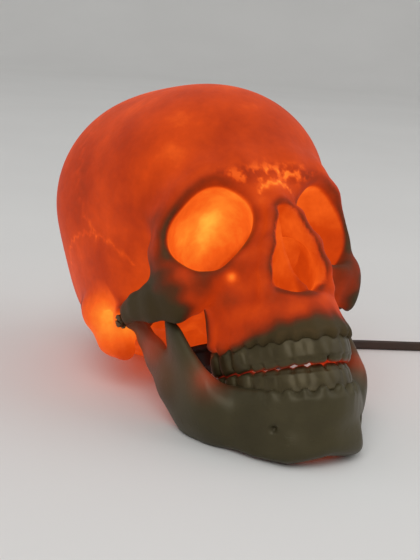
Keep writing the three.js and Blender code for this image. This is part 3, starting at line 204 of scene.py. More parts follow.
def srgb(red, green, blue):
    """8-bit screen colour to the renderer's own."""
    return tuple((v / 12.92 if v <= 0.04045 else ((v + 0.055) / 1.055) ** 2.4)
                 for v in (red / 255, green / 255, blue / 255))


# Flat twin cord: two round cores side by side, standing on its edge

CORD_WIDE, CORD_THICK = 5.6, 2.8
CORD_SECTION = [(0.5 * CORD_THICK * math.cos(a), sign * (CORD_WIDE - CORD_THICK) / 2 + 0.5 * CORD_THICK * math.sin(a))
                for sign, angles in ((1, np.linspace(-0.17, math.pi + 0.17, 9)),
                                     (-1, np.linspace(math.pi - 0.17, 2 * math.pi + 0.17, 9)))
                for a in angles]


def distances(line):
    """How far along a line each of its points lies."""
    return np.concatenate([[0], np.cumsum(np.linalg.norm(np.diff(line, axis=0), axis=1))])


def smooth_line(points, step):
    """Points every step along a centripetal Catmull-Rom curve through the given points."""
    points = [np.array(p, dtype=float) for p in points]
    points = [2 * points[0] - points[1]] + points + [2 * points[-1] - points[-2]]
    line = []
    for a, b, c, d in zip(points, points[1:], points[2:], points[3:]):
        t = np.cumsum([0] + [np.linalg.norm(q - p) ** 0.5 for p, q in ((a, b), (b, c), (c, d))])
        count = max(2, int(np.linalg.norm(c - b) / step * 4))

        def mix(start, end, i, j):
            return (start * (t[j] - u) + end * (u - t[i])) / (t[j] - t[i])

        for u in np.linspace(t[1], t[2], count, endpoint=False):
            one, two, three = mix(a, b, 0, 1), mix(b, c, 1, 2), mix(c, d, 2, 3)
            line.append(mix(mix(one, two, 0, 2), mix(two, three, 1, 3), 1, 2))
    line.append(points[-2])
    line = np.array(line)
    along = distances(line)
    even = np.linspace(0, along[-1], max(3, round(along[-1] / step) + 1))
    return np.stack([np.interp(even, along, line[:, i]) for i in range(3)], axis=1)


def ring_faces(rings, count, first=0):
    """Faces between rings of points that follow each other, in a mesh that has the first point at first."""
    return [(a, a + count, b + count, b) for start in range(first, first + (rings - 1) * count, count)
            for a, b in zip(range(start, start + count), [*range(start + 1, start + count), start])]


def cord_mesh(line):
    """The cord's section swept along a line, its width upright."""
    vertices, count = [], len(CORD_SECTION)
    for i, point in enumerate(line):
        way = line[min(i + 1, len(line) - 1)] - line[max(i - 1, 0)]
        way /= np.linalg.norm(way)
        across = np.array([way[1], -way[0], 0]) / math.hypot(way[0], way[1])
        rise = np.cross(across, way)
        vertices += [(point + across * x + rise * z) * MM for x, z in CORD_SECTION]
    ends = [tuple(range(count)), tuple(range((len(line) - 1) * count, len(line) * count))[::-1]]
    return vertices, ring_faces(len(line), count) + ends


def floor_line(points, step):
    """A smooth line in the part's frame, through points given from the floor under the ear line's middle."""
    return smooth_line(points, step) + np.array([0, EAR_LINE[1], 0])


cord_finish = Finish("cord_plastic", Base_Color=(*srgb(58, 36, 24), 1), Roughness=0.42)
grain = cord_finish.noise(900, 2)
cord_finish.colour(cord_finish.noise(40, 3), [(0.3, 44, 27, 18), (0.75, 66, 42, 29)])
cord_finish.rough(grain, 0.34, 0.5).bump(grain, 0.12, 0.0001)

GLAND_TIP = (29.982, 4.8092, 6.4757)
GLAND_WAY = np.array([0.9703, 0.2032, -0.1313])
LEAD_ROUTE = [(36, 1.5, 5.6), (46, 4.5, 4.1), (58, 9.5, 3), (72, 16.5, 2.9), (86, 23.5, 2.9), (98, 28.5, 2.9),
              (109, 30.6, 2.9), (119, 29.8, 2.9), (129, 26.6, 2.9), (139.4, 22.5, 2.9), (149, 18.8, 2.9),
              (159, 15, 2.9), (168, 11.6, 3.4), (176, 8.6, 5), (182, 6.3, 5.6), (188, 4, 5.6)]
lead_points = [GLAND_TIP, tuple(np.array(GLAND_TIP) + GLAND_WAY * CORD_WIDE)] + LEAD_ROUTE
lead_line = floor_line(lead_points, 2.5)
lead_line[:, 2] = np.maximum(lead_line[:, 2], CORD_WIDE / 2 + 0.05)
cord_lead = piece("lead", *cord_mesh(lead_line), cord_finish.material, "skull", "cord_lead", "cord")

COIL = {"turns": 3.375, "inner": 28, "gap": 0.7, "per_turn": 48, "approach": 38, "drop": 14, "tail": 18}
COIL_START = (229.645, -11.964)
LEAD_WAY = np.array([0.93375, -0.35794])


def coil_path():
    """The coil's two layers: in, up half a turn, and out again."""
    pitch = CORD_THICK + COIL["gap"]
    low, half = 1 + CORD_WIDE / 2, CORD_WIDE
    high = low + CORD_WIDE + COIL["gap"]
    outer = COIL["inner"] + COIL["turns"] * pitch
    start = np.array(COIL_START)
    touch = start + LEAD_WAY * COIL["approach"]
    centre = touch + outer * np.array([LEAD_WAY[1], -LEAD_WAY[0]])
    first = math.atan2(LEAD_WAY[0], -LEAD_WAY[1])

    def ease(share):
        return share * share * (3 - 2 * share)

    points = [(*start, half)]
    for i in range(6):
        points.append((*(start + LEAD_WAY * (CORD_WIDE + COIL["drop"] * i / 5)), half + (low - half) * ease(i / 5)))
    steps = round((2 * COIL["turns"] + 0.5) * COIL["per_turn"])
    for i in range(steps + 1):
        turns = i / COIL["per_turn"]
        climb = min(max((turns - COIL["turns"]) * 2, 0), 1)
        radius = (outer - turns * pitch if turns < COIL["turns"] else
                  COIL["inner"] + max(turns - COIL["turns"] - 0.5, 0) * pitch - math.sin(math.pi * climb) * pitch)
        angle = first - 2 * math.pi * turns
        points.append((centre[0] + radius * math.cos(angle), centre[1] + radius * math.sin(angle),
                       low + (high - low) * ease(climb)))
    way = np.array(points[-1][:2]) - np.array(points[-2][:2])
    way /= np.linalg.norm(way)
    end = np.array(points[-1][:2]) + way * COIL["tail"]
    points += [(*(end - way * CORD_WIDE), 6.0), (*end, 6.0)]
    return points


coil_line = floor_line(coil_path(), 3.2)
cord_coil = piece("coil", *cord_mesh(coil_line), cord_finish.material, "skull", "cord_coil", "cord")

# Forms of the skull, in its own frame: (centre, half sizes), and rods of (side, forward, up, radius)

EGGS = {
    "parietal": ((0, -9.5, 61.1), (66.5, 59, 62.6)),
    "frontal": ((0, 32.9, 51.5), (58, 52.4, 53.5)),
    "occipital": ((0, -42, 34.4), (50, 50.1, 49.1)),
    "base": ((19.9, -4, 18), (38, 46, 32)),
    "templePole": ((16, 38, 12), (23.9, 26, 20)),
    "upperJaw": ((14, 60, -8), (17.5, 23, 33)),
    "betweenSockets": ((0, 72.1, 2), (13, 16, 32)),
    "jawFront": ((0, 79, -30), (18, 14.5, 16)),
    "cheekBone": ((42.5, 57.5, -6.5), (10.5, 11, 12)),
    "noseCavity": ((9.4, 60.1, -7.1), (8.2, 26.9, 20)),
    "templeHollow": ((42.6, 36, -22), (8, 18, 25.1)),
    "cheekHollow": ((30, 82, -16), (10, 10, 11)),
}
RODS = {
    "bridge": ((0, 80, 35.1, 5), (0, 82.6, 28.5, 4.6), (0, 86.2, 22.5, 4.2), (0, 87.6, 20, 3.6)),
    "noseSide": ((4.5, 83, 26, 3.6), (6.6, 90, 14, 2.6), (12.2, 90.6, 0, 2.8), (16, 87.6, -12, 3.4),
                 (17.4, 85.4, -20, 4.4)),
    "noseWall": ((7, 82, 14, 4.6), (12, 81.5, 0, 6), (16, 79, -12, 7)),
    "noseSpine": ((0, 84.1, -26, 4), (0, 95, -23.1, 1.6)),
    "brow": ((0, 75.5, 41.1, 9.5), (14, 77, 40, 9.5), (27, 76.1, 38, 8), (39, 70, 31.5, 6.5), (44.6, 60.5, 24, 5.4)),
    "cheekPost": ((44.4, 58.4, 24, 6), (49.6, 54.7, 10, 6.5), (49.2, 54.5, -1, 8)),
    "cheekShelf": ((44, 61, -5.5, 8), (34, 68.5, -8, 6.5), (23.9, 74, -4, 5)),
    "cheekArch": ((38, 57, -10.5, 10.5), (46.5, 53.5, -11, 12.5), (52, 42, -9.6, 9), (55, 30, -7.2, 5.8),
                  (55.2, 20.5, -7, 4.4), (53.8, 9, -6, 4), (51.5, -2, -3, 4.2)),
    "earRidge": ((52.9, -6, 5.1, 4), (55.1, -18, 8, 5), (54, -30, 12, 3)),
    "mastoid": ((50, -14, 2, 12), (49.5, -10.9, -11.1, 8.8), (47.6, -7.5, -18.4, 5.4)),
    "skullFloor": ((0, -6, -19.1, 6), (0, 10, -14, 9), (0, 30, -6, 10)),
    "pterygoid": ((16, 36, -10, 7), (16.5, 40, -28, 6.5), (17, 43, -40, 4)),
    "ramusBack": ((45.5, 10.9, -10, 4.4), (45.5, 14.6, -18, 4.9), (45.5, 22.6, -30, 7.4), (44.6, 32, -45.1, 10.5),
                  (42, 38, -57.1, 12)),
    "ramusFront": ((45.5, 42.6, -20, 3.6), (45, 45, -30, 5.6), (44, 46, -42, 9), (41.5, 50.1, -55.9, 12)),
    "jawAngle": ((42, 32.9, -55.9, 8.5), (40, 36.9, -61.5, 10), (39, 46, -65, 11.5)),
    "jawBody": ((39.5, 44, -65, 12), (34.4, 60.1, -71.5, 12.2), (26.5, 71, -77.9, 13), (16, 77, -81.9, 13.5),
                (7, 81.5, -81.9, 13.5), (0, 82.6, -81.9, 13.5)),
    "jawLine": ((42, 48, -58, 11), (35.5, 55, -66.5, 8.5), (30, 61, -70.5, 7.5), (24, 68.5, -74, 6.5)),
    "chin": ((0, 82, -86.6, 6.2), (14, 77.6, -88.4, 5)),
}
# How many times narrower than deep a rod is
SQUEEZE = {"cheekArch": 2, "cheekPost": 1.6, "pterygoid": 1.7, "ramusBack": 2, "ramusFront": 2.5, "jawAngle": 2.1,
           "jawLine": 2.2}
WALL = 3
SOCKET = {"half_wide": 20.6, "half_tall": 16.4, "depth": 42, "rim": 3, "rim_set": 2.5, "back": 4.5, "back_from": 3,
          "lamp_wall": 6, "turn": math.radians(-34)}
ARCH_FROM, RIDGE_FROM = 52.05, 75
UPPER_ARCH = {"half": 27.2, "run": 44.3, "ridge": 5.2, "tall": 9.5, "lean": 0.4, "up": 1,
              "level": -34.2, "slope": 0.17, "back": 47}
LOWER_ARCH = {"half": 25.8, "run": 40, "ridge": 4.8, "tall": 8.5, "lean": -0.3, "up": -1,
              "level": -72.6, "slope": 0.24, "back": 46.5}
PALATE, PALATE_BACK = -30, 42
JAW_ARCH = (31.5, 47, 34.9)
HINGE = {"place": (45, 10, -8), "radius": 4.6, "half": 8, "play": 1.2, "boss": 6}
LAMP_FORWARD, SEAT_LEVEL = -16.0, -21.1
# The shell's ring round the lamp: its radius and height, and the radii of the hole for the foot and for its neck
COLLAR = {"radius": 24, "tall": 13, "foot": 21.1, "neck": 15.7}
EAR_HOLE = {"ahead": -2.2, "up": -2, "from": 42, "radius": 3.6}
MOST_TRIANGLES = 190000


def join(a, b, soft):
    """Two forms as one, with a soft blend as wide as given where they meet."""
    overlap = np.maximum(soft - np.abs(a - b), 0)
    return np.minimum(a, b) - overlap * overlap / (4 * soft)


def joined(d, *others):
    for other, soft in others:
        d = join(d, other, soft)
    return d


def within(a, b, soft):
    return -join(-a, -b, soft)


def without(a, b, soft):
    return within(a, -b, soft)


def egg(p, name):
    """About how far points lie outside an ellipsoid."""
    centre, half = EGGS[name]
    q = [(v - c) / h for v, c, h in zip(p, centre, half)]
    near = np.sqrt(q[0] ** 2 + q[1] ** 2 + q[2] ** 2)
    slope = np.sqrt((q[0] / half[0]) ** 2 + (q[1] / half[1]) ** 2 + (q[2] / half[2]) ** 2)
    return near * (near - 1) / np.maximum(slope, 1e-9)


def rod_piece(p, a, b, radius_a, radius_b, squeeze=1.0):
    """About how far points lie outside a round rod from a to b. Squeezed, it is narrower from side to side."""
    scale = (squeeze, 1, 1)
    along = [(v - u) * k for u, v, k in zip(a, b, scale)]
    away = [(v - u) * k for v, u, k in zip(p, a, scale)]
    t = np.clip(sum(u * v for u, v in zip(away, along)) / sum(v * v for v in along), 0, 1)
    far = np.sqrt(sum((u - t * v) ** 2 for u, v in zip(away, along)))
    return (far - radius_a - (radius_b - radius_a) * t) / math.sqrt(squeeze)


def rod(p, name, soft=4):
    rows, result = RODS[name], None
    for a, b in zip(rows, rows[1:]):
        stretch = rod_piece(p, a[:3], b[:3], a[3], b[3], SQUEEZE.get(name, 1))
        result = stretch if result is None else join(result, stretch, soft)
    return result


def unit(v):
    v = np.array(v, dtype=float)
    return v / np.linalg.norm(v)


SOCKET_CENTRE = np.array([30.6, 73, 14.2])
SOCKET_SIDE = unit((0.9, -0.42, -0.12))
SOCKET_UP = np.array([-0.05, 0.28, 0.96])
SOCKET_UP = unit(SOCKET_UP - SOCKET_SIDE * SOCKET_UP.dot(SOCKET_SIDE))
SOCKET_OUT = np.cross(SOCKET_UP, SOCKET_SIDE)
SOCKET_AXIS = unit((-0.42, -0.9, -0.06))
SOCKET_MEAN = (SOCKET["half_wide"] + SOCKET["half_tall"]) / 2


def socket_frame(p):
    """Depth of points in the eye socket, and how far out they are round its axis: 1 at the rim."""
    away = [v - c for v, c in zip(p, SOCKET_CENTRE)]
    deep = sum(v * o for v, o in zip(away, SOCKET_OUT)) / SOCKET_AXIS.dot(SOCKET_OUT)
    away = [v - deep * k for v, k in zip(away, SOCKET_AXIS)]
    across = sum(v * k for v, k in zip(away, SOCKET_SIDE))
    rise = sum(v * k for v, k in zip(away, SOCKET_UP))
    c, s = math.cos(SOCKET["turn"]), math.sin(SOCKET["turn"])
    ring = (np.abs((across * c + rise * s) / SOCKET["half_wide"]) ** 2.5
            + np.abs((rise * c - across * s) / SOCKET["half_tall"]) ** 2.5) ** 0.4
    return deep, ring


def eye_socket(p):
    deep, ring = socket_frame(p)
    size = np.where(deep > 0, np.maximum(1 - (deep / SOCKET["depth"]) ** 2, 0) ** 0.62,
                    1 - 0.17 * deep / SOCKET["depth"])
    return (ring - size) * SOCKET_MEAN


def socket_rim(p):
    deep, ring = socket_frame(p)
    return np.hypot((ring - 1.07) * SOCKET_MEAN, deep - SOCKET["rim_set"]) - SOCKET["rim"]


def arch_plan(p, half, run, start=ARCH_FROM):
    """About how far points lie outside a horseshoe, seen from above: straight sides up to start, then round."""
    ahead = p[1] - start
    near = np.hypot(p[0] / half, ahead / run)
    slope = np.hypot(p[0] / half ** 2, ahead / run ** 2)
    return np.where(ahead < 0, p[0] - half, near * (near - 1) / np.maximum(slope, 1e-9))


def ridge_level(arch, ahead):
    return arch["level"] - (ahead - RIDGE_FROM) * arch["slope"]


def tooth_ridge(p, arch):
    above = p[2] - ridge_level(arch, p[1])
    lean = np.maximum(arch["lean"] * above + abs(arch["lean"]) * (arch["tall"] - 4), 0)
    edge = eased(-arch["up"] * above, arch["tall"] - 5, arch["tall"])
    ridge = within(np.abs(arch_plan(p, arch["half"], arch["run"]) + lean) - arch["ridge"] + 1.5 * edge,
                   np.abs(above) - arch["tall"], 5)
    return within(ridge, arch["back"] - p[1], 4)


def nose_opening(p):
    t = np.clip((p[2] + 11.5) / 28.5, 0, 1)
    return np.hypot(p[0], p[2] + 11.5 - t * 28.5) - 12.6 + 10.4 * t


NOSE_PLATE = [(81.5, 28), (84.4, 12), (83.7, 5.8), (83.9, -2.2), (86.1, -11.8), (89.7, -17.3), (95.4, -22.9),
              (76.4, -28.9), (45.5, -26.6), (41.9, 4.4), (60.1, 26.6)]


def nose_plate(p):
    """The upright plate in the middle of the nose: distance to its outline, and its thickness."""
    ahead, rise = p[1][0], p[2][0]
    near, inside = np.full(ahead.shape, 1e6, np.float32), np.zeros(ahead.shape, bool)
    for (a0, h0), (a1, h1) in zip(NOSE_PLATE, NOSE_PLATE[1:] + NOSE_PLATE[:1]):
        t = np.clip(((ahead - a0) * (a1 - a0) + (rise - h0) * (h1 - h0)) / ((a1 - a0) ** 2 + (h1 - h0) ** 2), 0, 1)
        near = np.minimum(near, np.hypot(ahead - a0 - t * (a1 - a0), rise - h0 - t * (h1 - h0)))
        crosses = (h0 > rise) != (h1 > rise)
        inside ^= crosses & (ahead < a0 + (a1 - a0) * (rise - h0) / (h1 - h0 if h1 != h0 else 1))
    return within(np.where(inside, -near, near)[None], np.abs(p[0]) - 1.1, 1.5)


# Teeth: places along each row, and a rounded crown and a root bulge at each

CROWN_WIDE = np.array([8.6, 6.8, 7.8, 7.2, 7.0, 10.2, 9.8, 8.6])


def tooth_places(arch):
    """Middle, outward way and width of each tooth from the front to the back of one side."""
    quarter = math.pi / 2 * math.sqrt((arch["half"] ** 2 + arch["run"] ** 2) / 2)
    wide = CROWN_WIDE * (quarter + ARCH_FROM - arch["back"] - 0.6) / CROWN_WIDE.sum()
    turn = np.linspace(0, math.pi / 2, 400)
    line = np.stack([arch["half"] * np.sin(turn), ARCH_FROM + arch["run"] * np.cos(turn)], axis=1)
    line = np.concatenate([line, line[-1] + np.outer(np.linspace(0.5, 60, 120), (0, -1))])
    along = distances(line)
    middles = np.cumsum(wide) - wide / 2
    at, ahead = (np.stack([np.interp(spots, along, line[:, i]) for i in (0, 1)], axis=1)
                 for spots in (middles, middles + 0.5))
    way = (ahead - at) / np.linalg.norm(ahead - at, axis=1)[:, None]
    return [(m, np.array([-w[1], w[0]]), width) for m, w, width in zip(at, way, wide)]


def ridge_edge(arch, ahead):
    """Level of a ridge's edge where its teeth stand."""
    return ridge_level(arch, ahead) - arch["up"] * arch["tall"]


def tip_level(arch, ahead):
    """Level of the cutting edges."""
    level = -57.72 + (ARCH_FROM + UPPER_ARCH["run"] - ahead) * 0.17
    return level if arch is UPPER_ARCH else level - 0.5 - max(ahead - ARCH_FROM, 0) * 0.01


def roots(p, arch):
    """Low bulges over the roots of the teeth."""
    d = None
    for (x, y), (nx, ny), wide in tooth_places(arch)[:7]:
        edge, out = ridge_edge(arch, y), arch["ridge"] - 0.32 * wide + 0.55
        low, high = ((x + nx * far, y + ny * far, edge + arch["up"] * tall)
                     for far, tall in ((out, 1.5), (out - 3.4, 12)))
        bulge = rod_piece(p, low, high, 0.32 * wide, 0.2 * wide)
        d = bulge if d is None else np.minimum(d, bulge)
    return d


def braincase(p):
    return joined(egg(p, "parietal"), (egg(p, "frontal"), 22), (egg(p, "occipital"), 20), (egg(p, "base"), 16),
                  (egg(p, "templePole"), 12))


def cheek(p):
    return joined(rod(p, "cheekPost"), (egg(p, "cheekBone"), 7), (rod(p, "cheekShelf"), 7), (rod(p, "cheekArch"), 5))


def face(p):
    roof = within(arch_plan(p, UPPER_ARCH["half"], UPPER_ARCH["run"]), np.abs(p[2] - PALATE) - 4, 4)
    d = joined(egg(p, "upperJaw"), (egg(p, "betweenSockets"), 7), (egg(p, "jawFront"), 12),
               (tooth_ridge(p, UPPER_ARCH), 7), (roots(p, UPPER_ARCH), 2.2), (within(roof, PALATE_BACK - p[1], 4), 4))
    for name in ("bridge", "noseSide", "noseWall", "noseSpine"):
        d = join(d, rod(p, name), 4)
    d = without(joined(d, (cheek(p), 7), (socket_rim(p), 7)), egg(p, "templeHollow"), 5)
    cup = within(eye_socket(p) - SOCKET["back"], SOCKET["back_from"] - socket_frame(p)[0], 4)
    return join(d, cup, 4)


def joint_rod(p, start, end, radius):
    x, y, z = HINGE["place"]
    return rod_piece(p, (x + start, y, z), (x + end, y, z), radius, radius)


def joint_boss(p):
    return joint_rod(p, -HINGE["half"] - HINGE["boss"], -HINGE["half"] - 2 * HINGE["boss"], HINGE["boss"])


def ball(p, place, radius):
    return np.sqrt(sum((v - c) ** 2 for v, c in zip(p, place))) - radius


def cranium_form(p):
    d = join(join(braincase(p), rod(p, "brow"), 12), face(p), 7)
    for name, soft in (("earRidge", 7), ("mastoid", 7), ("skullFloor", 7), ("pterygoid", 5)):
        d = join(d, rod(p, name), soft)
    d = without(join(d, joint_boss(p), 4), eye_socket(p), 4)
    opening = within(nose_opening(p), 58 - p[1], 5)
    d = without(d, join(opening, egg(p, "noseCavity"), 4), 2)
    d = without(join(d, nose_plate(p), 1), egg(p, "cheekHollow"), 7)
    d = without(d, ball(p, (26.5, 77, -10.8), 2.6), 1.5)
    inner = arch_plan(p, UPPER_ARCH["half"] - UPPER_ARCH["ridge"], UPPER_ARCH["run"] - UPPER_ARCH["ridge"])
    d = without(d, within(inner, p[2] - PALATE, 7), 4)
    return without(d, joint_rod(p, -HINGE["half"] - HINGE["play"], 130, HINGE["radius"] + HINGE["play"]), 2)


def disc(p, radius, low, high):
    """A round block about the lamp's axis, which is square to the skull's base."""
    return np.maximum(np.hypot(p[0], p[1] - LAMP_FORWARD) - radius, np.abs(p[2] - (low + high) / 2) - (high - low) / 2)


def cranium_shell(p):
    """The shell's form, and the hollow's, which the light needs."""
    form = cranium_form(p)
    hollow = within(np.maximum(np.maximum(form + WALL, WALL - joint_boss(p)), SOCKET["lamp_wall"] - eye_socket(p)),
                    braincase(p) + WALL, 2)
    d = np.minimum(np.maximum(form, -hollow), disc(p, COLLAR["radius"], SEAT_LEVEL, SEAT_LEVEL + COLLAR["tall"]))
    far = np.hypot(p[1] - EAR_HOLE["ahead"], p[2] - EAR_HOLE["up"])
    ear = np.maximum(far, EAR_HOLE["from"] - p[0]) - EAR_HOLE["radius"]
    for hole in (disc(p, COLLAR["foot"], SEAT_LEVEL - 80, SEAT_LEVEL),
                 disc(p, COLLAR["neck"], SEAT_LEVEL - 1, SEAT_LEVEL + 60), ear):
        d = np.maximum(d, -hole)
    return d, hollow


def jaw_form(p):
    pin, radius = HINGE["half"] - HINGE["radius"], HINGE["radius"]
    body = within(rod(p, "jawBody", 5), np.abs(arch_plan(p, *JAW_ARCH) + 0.6) - 5.8, 4)
    d = joined(rod(p, "ramusBack", 5), (rod(p, "ramusFront", 5), 4), (joint_rod(p, -pin, pin, radius), 4),
               (rod(p, "jawAngle", 5), 5), (body, 9), (rod(p, "jawLine", 5), 8), (tooth_ridge(p, LOWER_ARCH), 7),
               (roots(p, LOWER_ARCH), 2.2), (rod(p, "chin"), 7))
    return without(d, ball(p, (22.5, 77.5, -81), 1.1), 2.5),


# Closed skin of a form: one point in each cell of a grid that the surface passes through

def sample(form, low, high, step):
    """Values on a grid, alike on both sides of the middle, and the grid's first place."""
    rows = [start + np.arange(math.ceil((end - start) / step) + 1) * step for start, end in zip(low, high)]
    grid = [g.astype(np.float32) for g in np.meshgrid(*rows, indexing="ij")]
    both = [np.concatenate([v[:0:-1], v]).astype(np.float32) for v in form(grid)]
    return both, np.array([-rows[0][-1], low[1], low[2]])


def unmixed(values):
    """Fills places until no square of the grid has its inside corners only across from each other."""
    squares = []
    for u, v in ((0, 1), (1, 2), (0, 2)):
        parts = []
        for du, dv in ((0, 0), (1, 1), (1, 0), (0, 1)):
            cut = [slice(None)] * 3
            cut[u], cut[v] = slice(du, values.shape[u] - 1 + du), slice(dv, values.shape[v] - 1 + dv)
            parts.append(tuple(cut))
        squares.append(parts)
    changed = True
    while changed:
        changed = False
        for parts in squares:
            a, b, c, d = (values[part] < 0 for part in parts)
            for mixed, one, two in ((a & b & ~c & ~d, 2, 3), (c & d & ~a & ~b, 0, 1)):
                if mixed.any():
                    changed = True
                    nearer = values[parts[one]] <= values[parts[two]]
                    values[parts[one]][mixed & nearer] = -1e-3
                    values[parts[two]][mixed & ~nearer] = -1e-3
    return values


def skin(values, origin, step):
    """Vertices and faces where the values change sign. The skull's frame is left-handed, so faces turn over."""
    inside = unmixed(values) < 0
    size = np.array(values.shape)
    corners = [(i, j, k) for i in (0, 1) for j in (0, 1) for k in (0, 1)]
    cells = sum(inside[i:size[0] - 1 + i, j:size[1] - 1 + j, k:size[2] - 1 + k].astype(np.uint8) for i, j, k in corners)
    at = np.argwhere((cells > 0) & (cells < 8))
    index = -np.ones(size - 1, dtype=np.int64)
    index[tuple(at.T)] = np.arange(len(at))
    total, hits = np.zeros((len(at), 3)), np.zeros(len(at))
    for corner in corners:
        for axis in range(3):
            if corner[axis]:
                continue
            other = [1 if i == axis else v for i, v in enumerate(corner)]
            a, b = values[tuple((at + corner).T)], values[tuple((at + other).T)]
            crossed = (a < 0) != (b < 0)
            point = np.array(corner, dtype=float)[None, :].repeat(len(at), axis=0)
            point[:, axis] = np.where(crossed, a / np.where(crossed, a - b, 1), 0)
            total[crossed] += point[crossed]
            hits += crossed
    vertices = (at + total / hits[:, None]) * step + origin
    faces = []
    for axis in range(3):
        u, v = (axis + 1) % 3, (axis + 2) % 3
        here, there = (inside[tuple(cut if i == axis else slice(None) for i in range(3))]
                       for cut in (slice(0, -1), slice(1, None)))
        edge = np.argwhere(here != there)
        edge = edge[(edge[:, u] > 0) & (edge[:, v] > 0) & (edge[:, u] < size[u] - 1) & (edge[:, v] < size[v] - 1)]
        quad = []
        for du, dv in ((1, 1), (0, 1), (0, 0), (1, 0)):
            cell = edge.copy()
            cell[:, u] -= du
            cell[:, v] -= dv
            quad.append(index[tuple(cell.T)])
        quad = np.stack(quad, axis=1)
        out = here[tuple(edge.T)]
        quad[out] = quad[out][:, ::-1]
        faces.append(quad)
    return largest_skin(vertices, np.concatenate(faces))


def largest_skin(vertices, faces):
    """The largest connected part of a skin."""
    label = np.arange(len(vertices))
    while True:
        low = label[faces].min(axis=1)
        new = label.copy()
        for i in range(4):
            np.minimum.at(new, faces[:, i], low)
        new = new[new]
        if (new == label).all():
            break
        label = new
    names, counts = np.unique(label, return_counts=True)
    kept = label == names[counts.argmax()]
    faces = faces[kept[faces[:, 0]]]
    renumber = np.cumsum(kept) - 1
    return vertices[kept], renumber[faces]


def read_grid(values, origin, step, points):
    """Values of a grid at points, between its places."""
    q = np.clip((points - origin) / step, 0, np.array(values.shape) - 1.001)
    i = q.astype(int)
    f = q - i
    total = 0
    for corner in np.ndindex(2, 2, 2):
        x, y, z = (f[:, n] if c else 1 - f[:, n] for n, c in enumerate(corner))
        total = total + x * y * z * values[tuple((i + corner).T)]
    return total


def settle(vertices, values, origin, step):
    """Moves a skin's points on to the surface itself, and gives the way out of it."""
    read, moved, reach = partial(read_grid, values, origin, step), vertices.copy(), step * 0.6
    for _ in range(2):
        slope = np.stack([read(moved + reach * e) - read(moved - reach * e) for e in np.eye(3)], axis=1) / (2 * reach)
        size = (slope ** 2).sum(axis=1)
        shift = slope * (read(moved) / np.maximum(size, 0.25))[:, None]
        moved -= np.clip(shift, -0.4 * step, 0.4 * step)
    return moved, slope / np.sqrt(np.maximum(size, 1e-9))[:, None]


def grown(form, low, high, step):
    """Points, faces and ways out of a form's skin, its points with both sides taken as one, and its last grid."""
    values, origin = sample(form, low, high, step)
    ahead, rise = (np.arange(n, dtype=np.float32) * step + o for n, o in zip(values[0].shape[1:], origin[1:]))
    # The form is flat where it rests on the floor
    floor = -(rise * math.cos(TILT) + ahead[:, None] * math.sin(TILT) + EAR_LINE[2])
    solid = np.maximum(values[0], floor)
    points, faces = skin(solid, origin, step)
    points, normals = settle(points, solid, origin, step)
    return points, faces, normals, (np.abs(points[:, 0]), points[:, 1], points[:, 2]), (values[-1], origin, step)


def evened(values, faces, rounds):
    """Values at a skin's points, each drawn towards its neighbours."""
    ends = np.concatenate([faces, np.roll(faces, 1, axis=1)]).reshape(-1)
    others = np.concatenate([np.roll(faces, 1, axis=1), faces]).reshape(-1)
    count = np.bincount(ends, minlength=len(values))
    for _ in range(rounds):
        values = 0.3 * values + 0.7 * np.bincount(ends, values[others], len(values)) / np.maximum(count, 1)
    return values


# Light of the bulb behind the plastic, at each point of the shell's skin: 0 is dark, 1 the brightest

def eased(value, low, high):
    t = np.clip((value - low) / (high - low), 0, 1)
    return t * t * (3 - 2 * t)


def near_spot(p, place, reach):
    return np.exp(-sum((v - c) ** 2 for v, c in zip(p, place)) / (2 * reach ** 2))


GLOW_SPOTS = ((0.19, (0, 88, 30), 10), (-0.1, (17, 86, 2), 6), (-0.17, (38, 73, -9), 4.5))


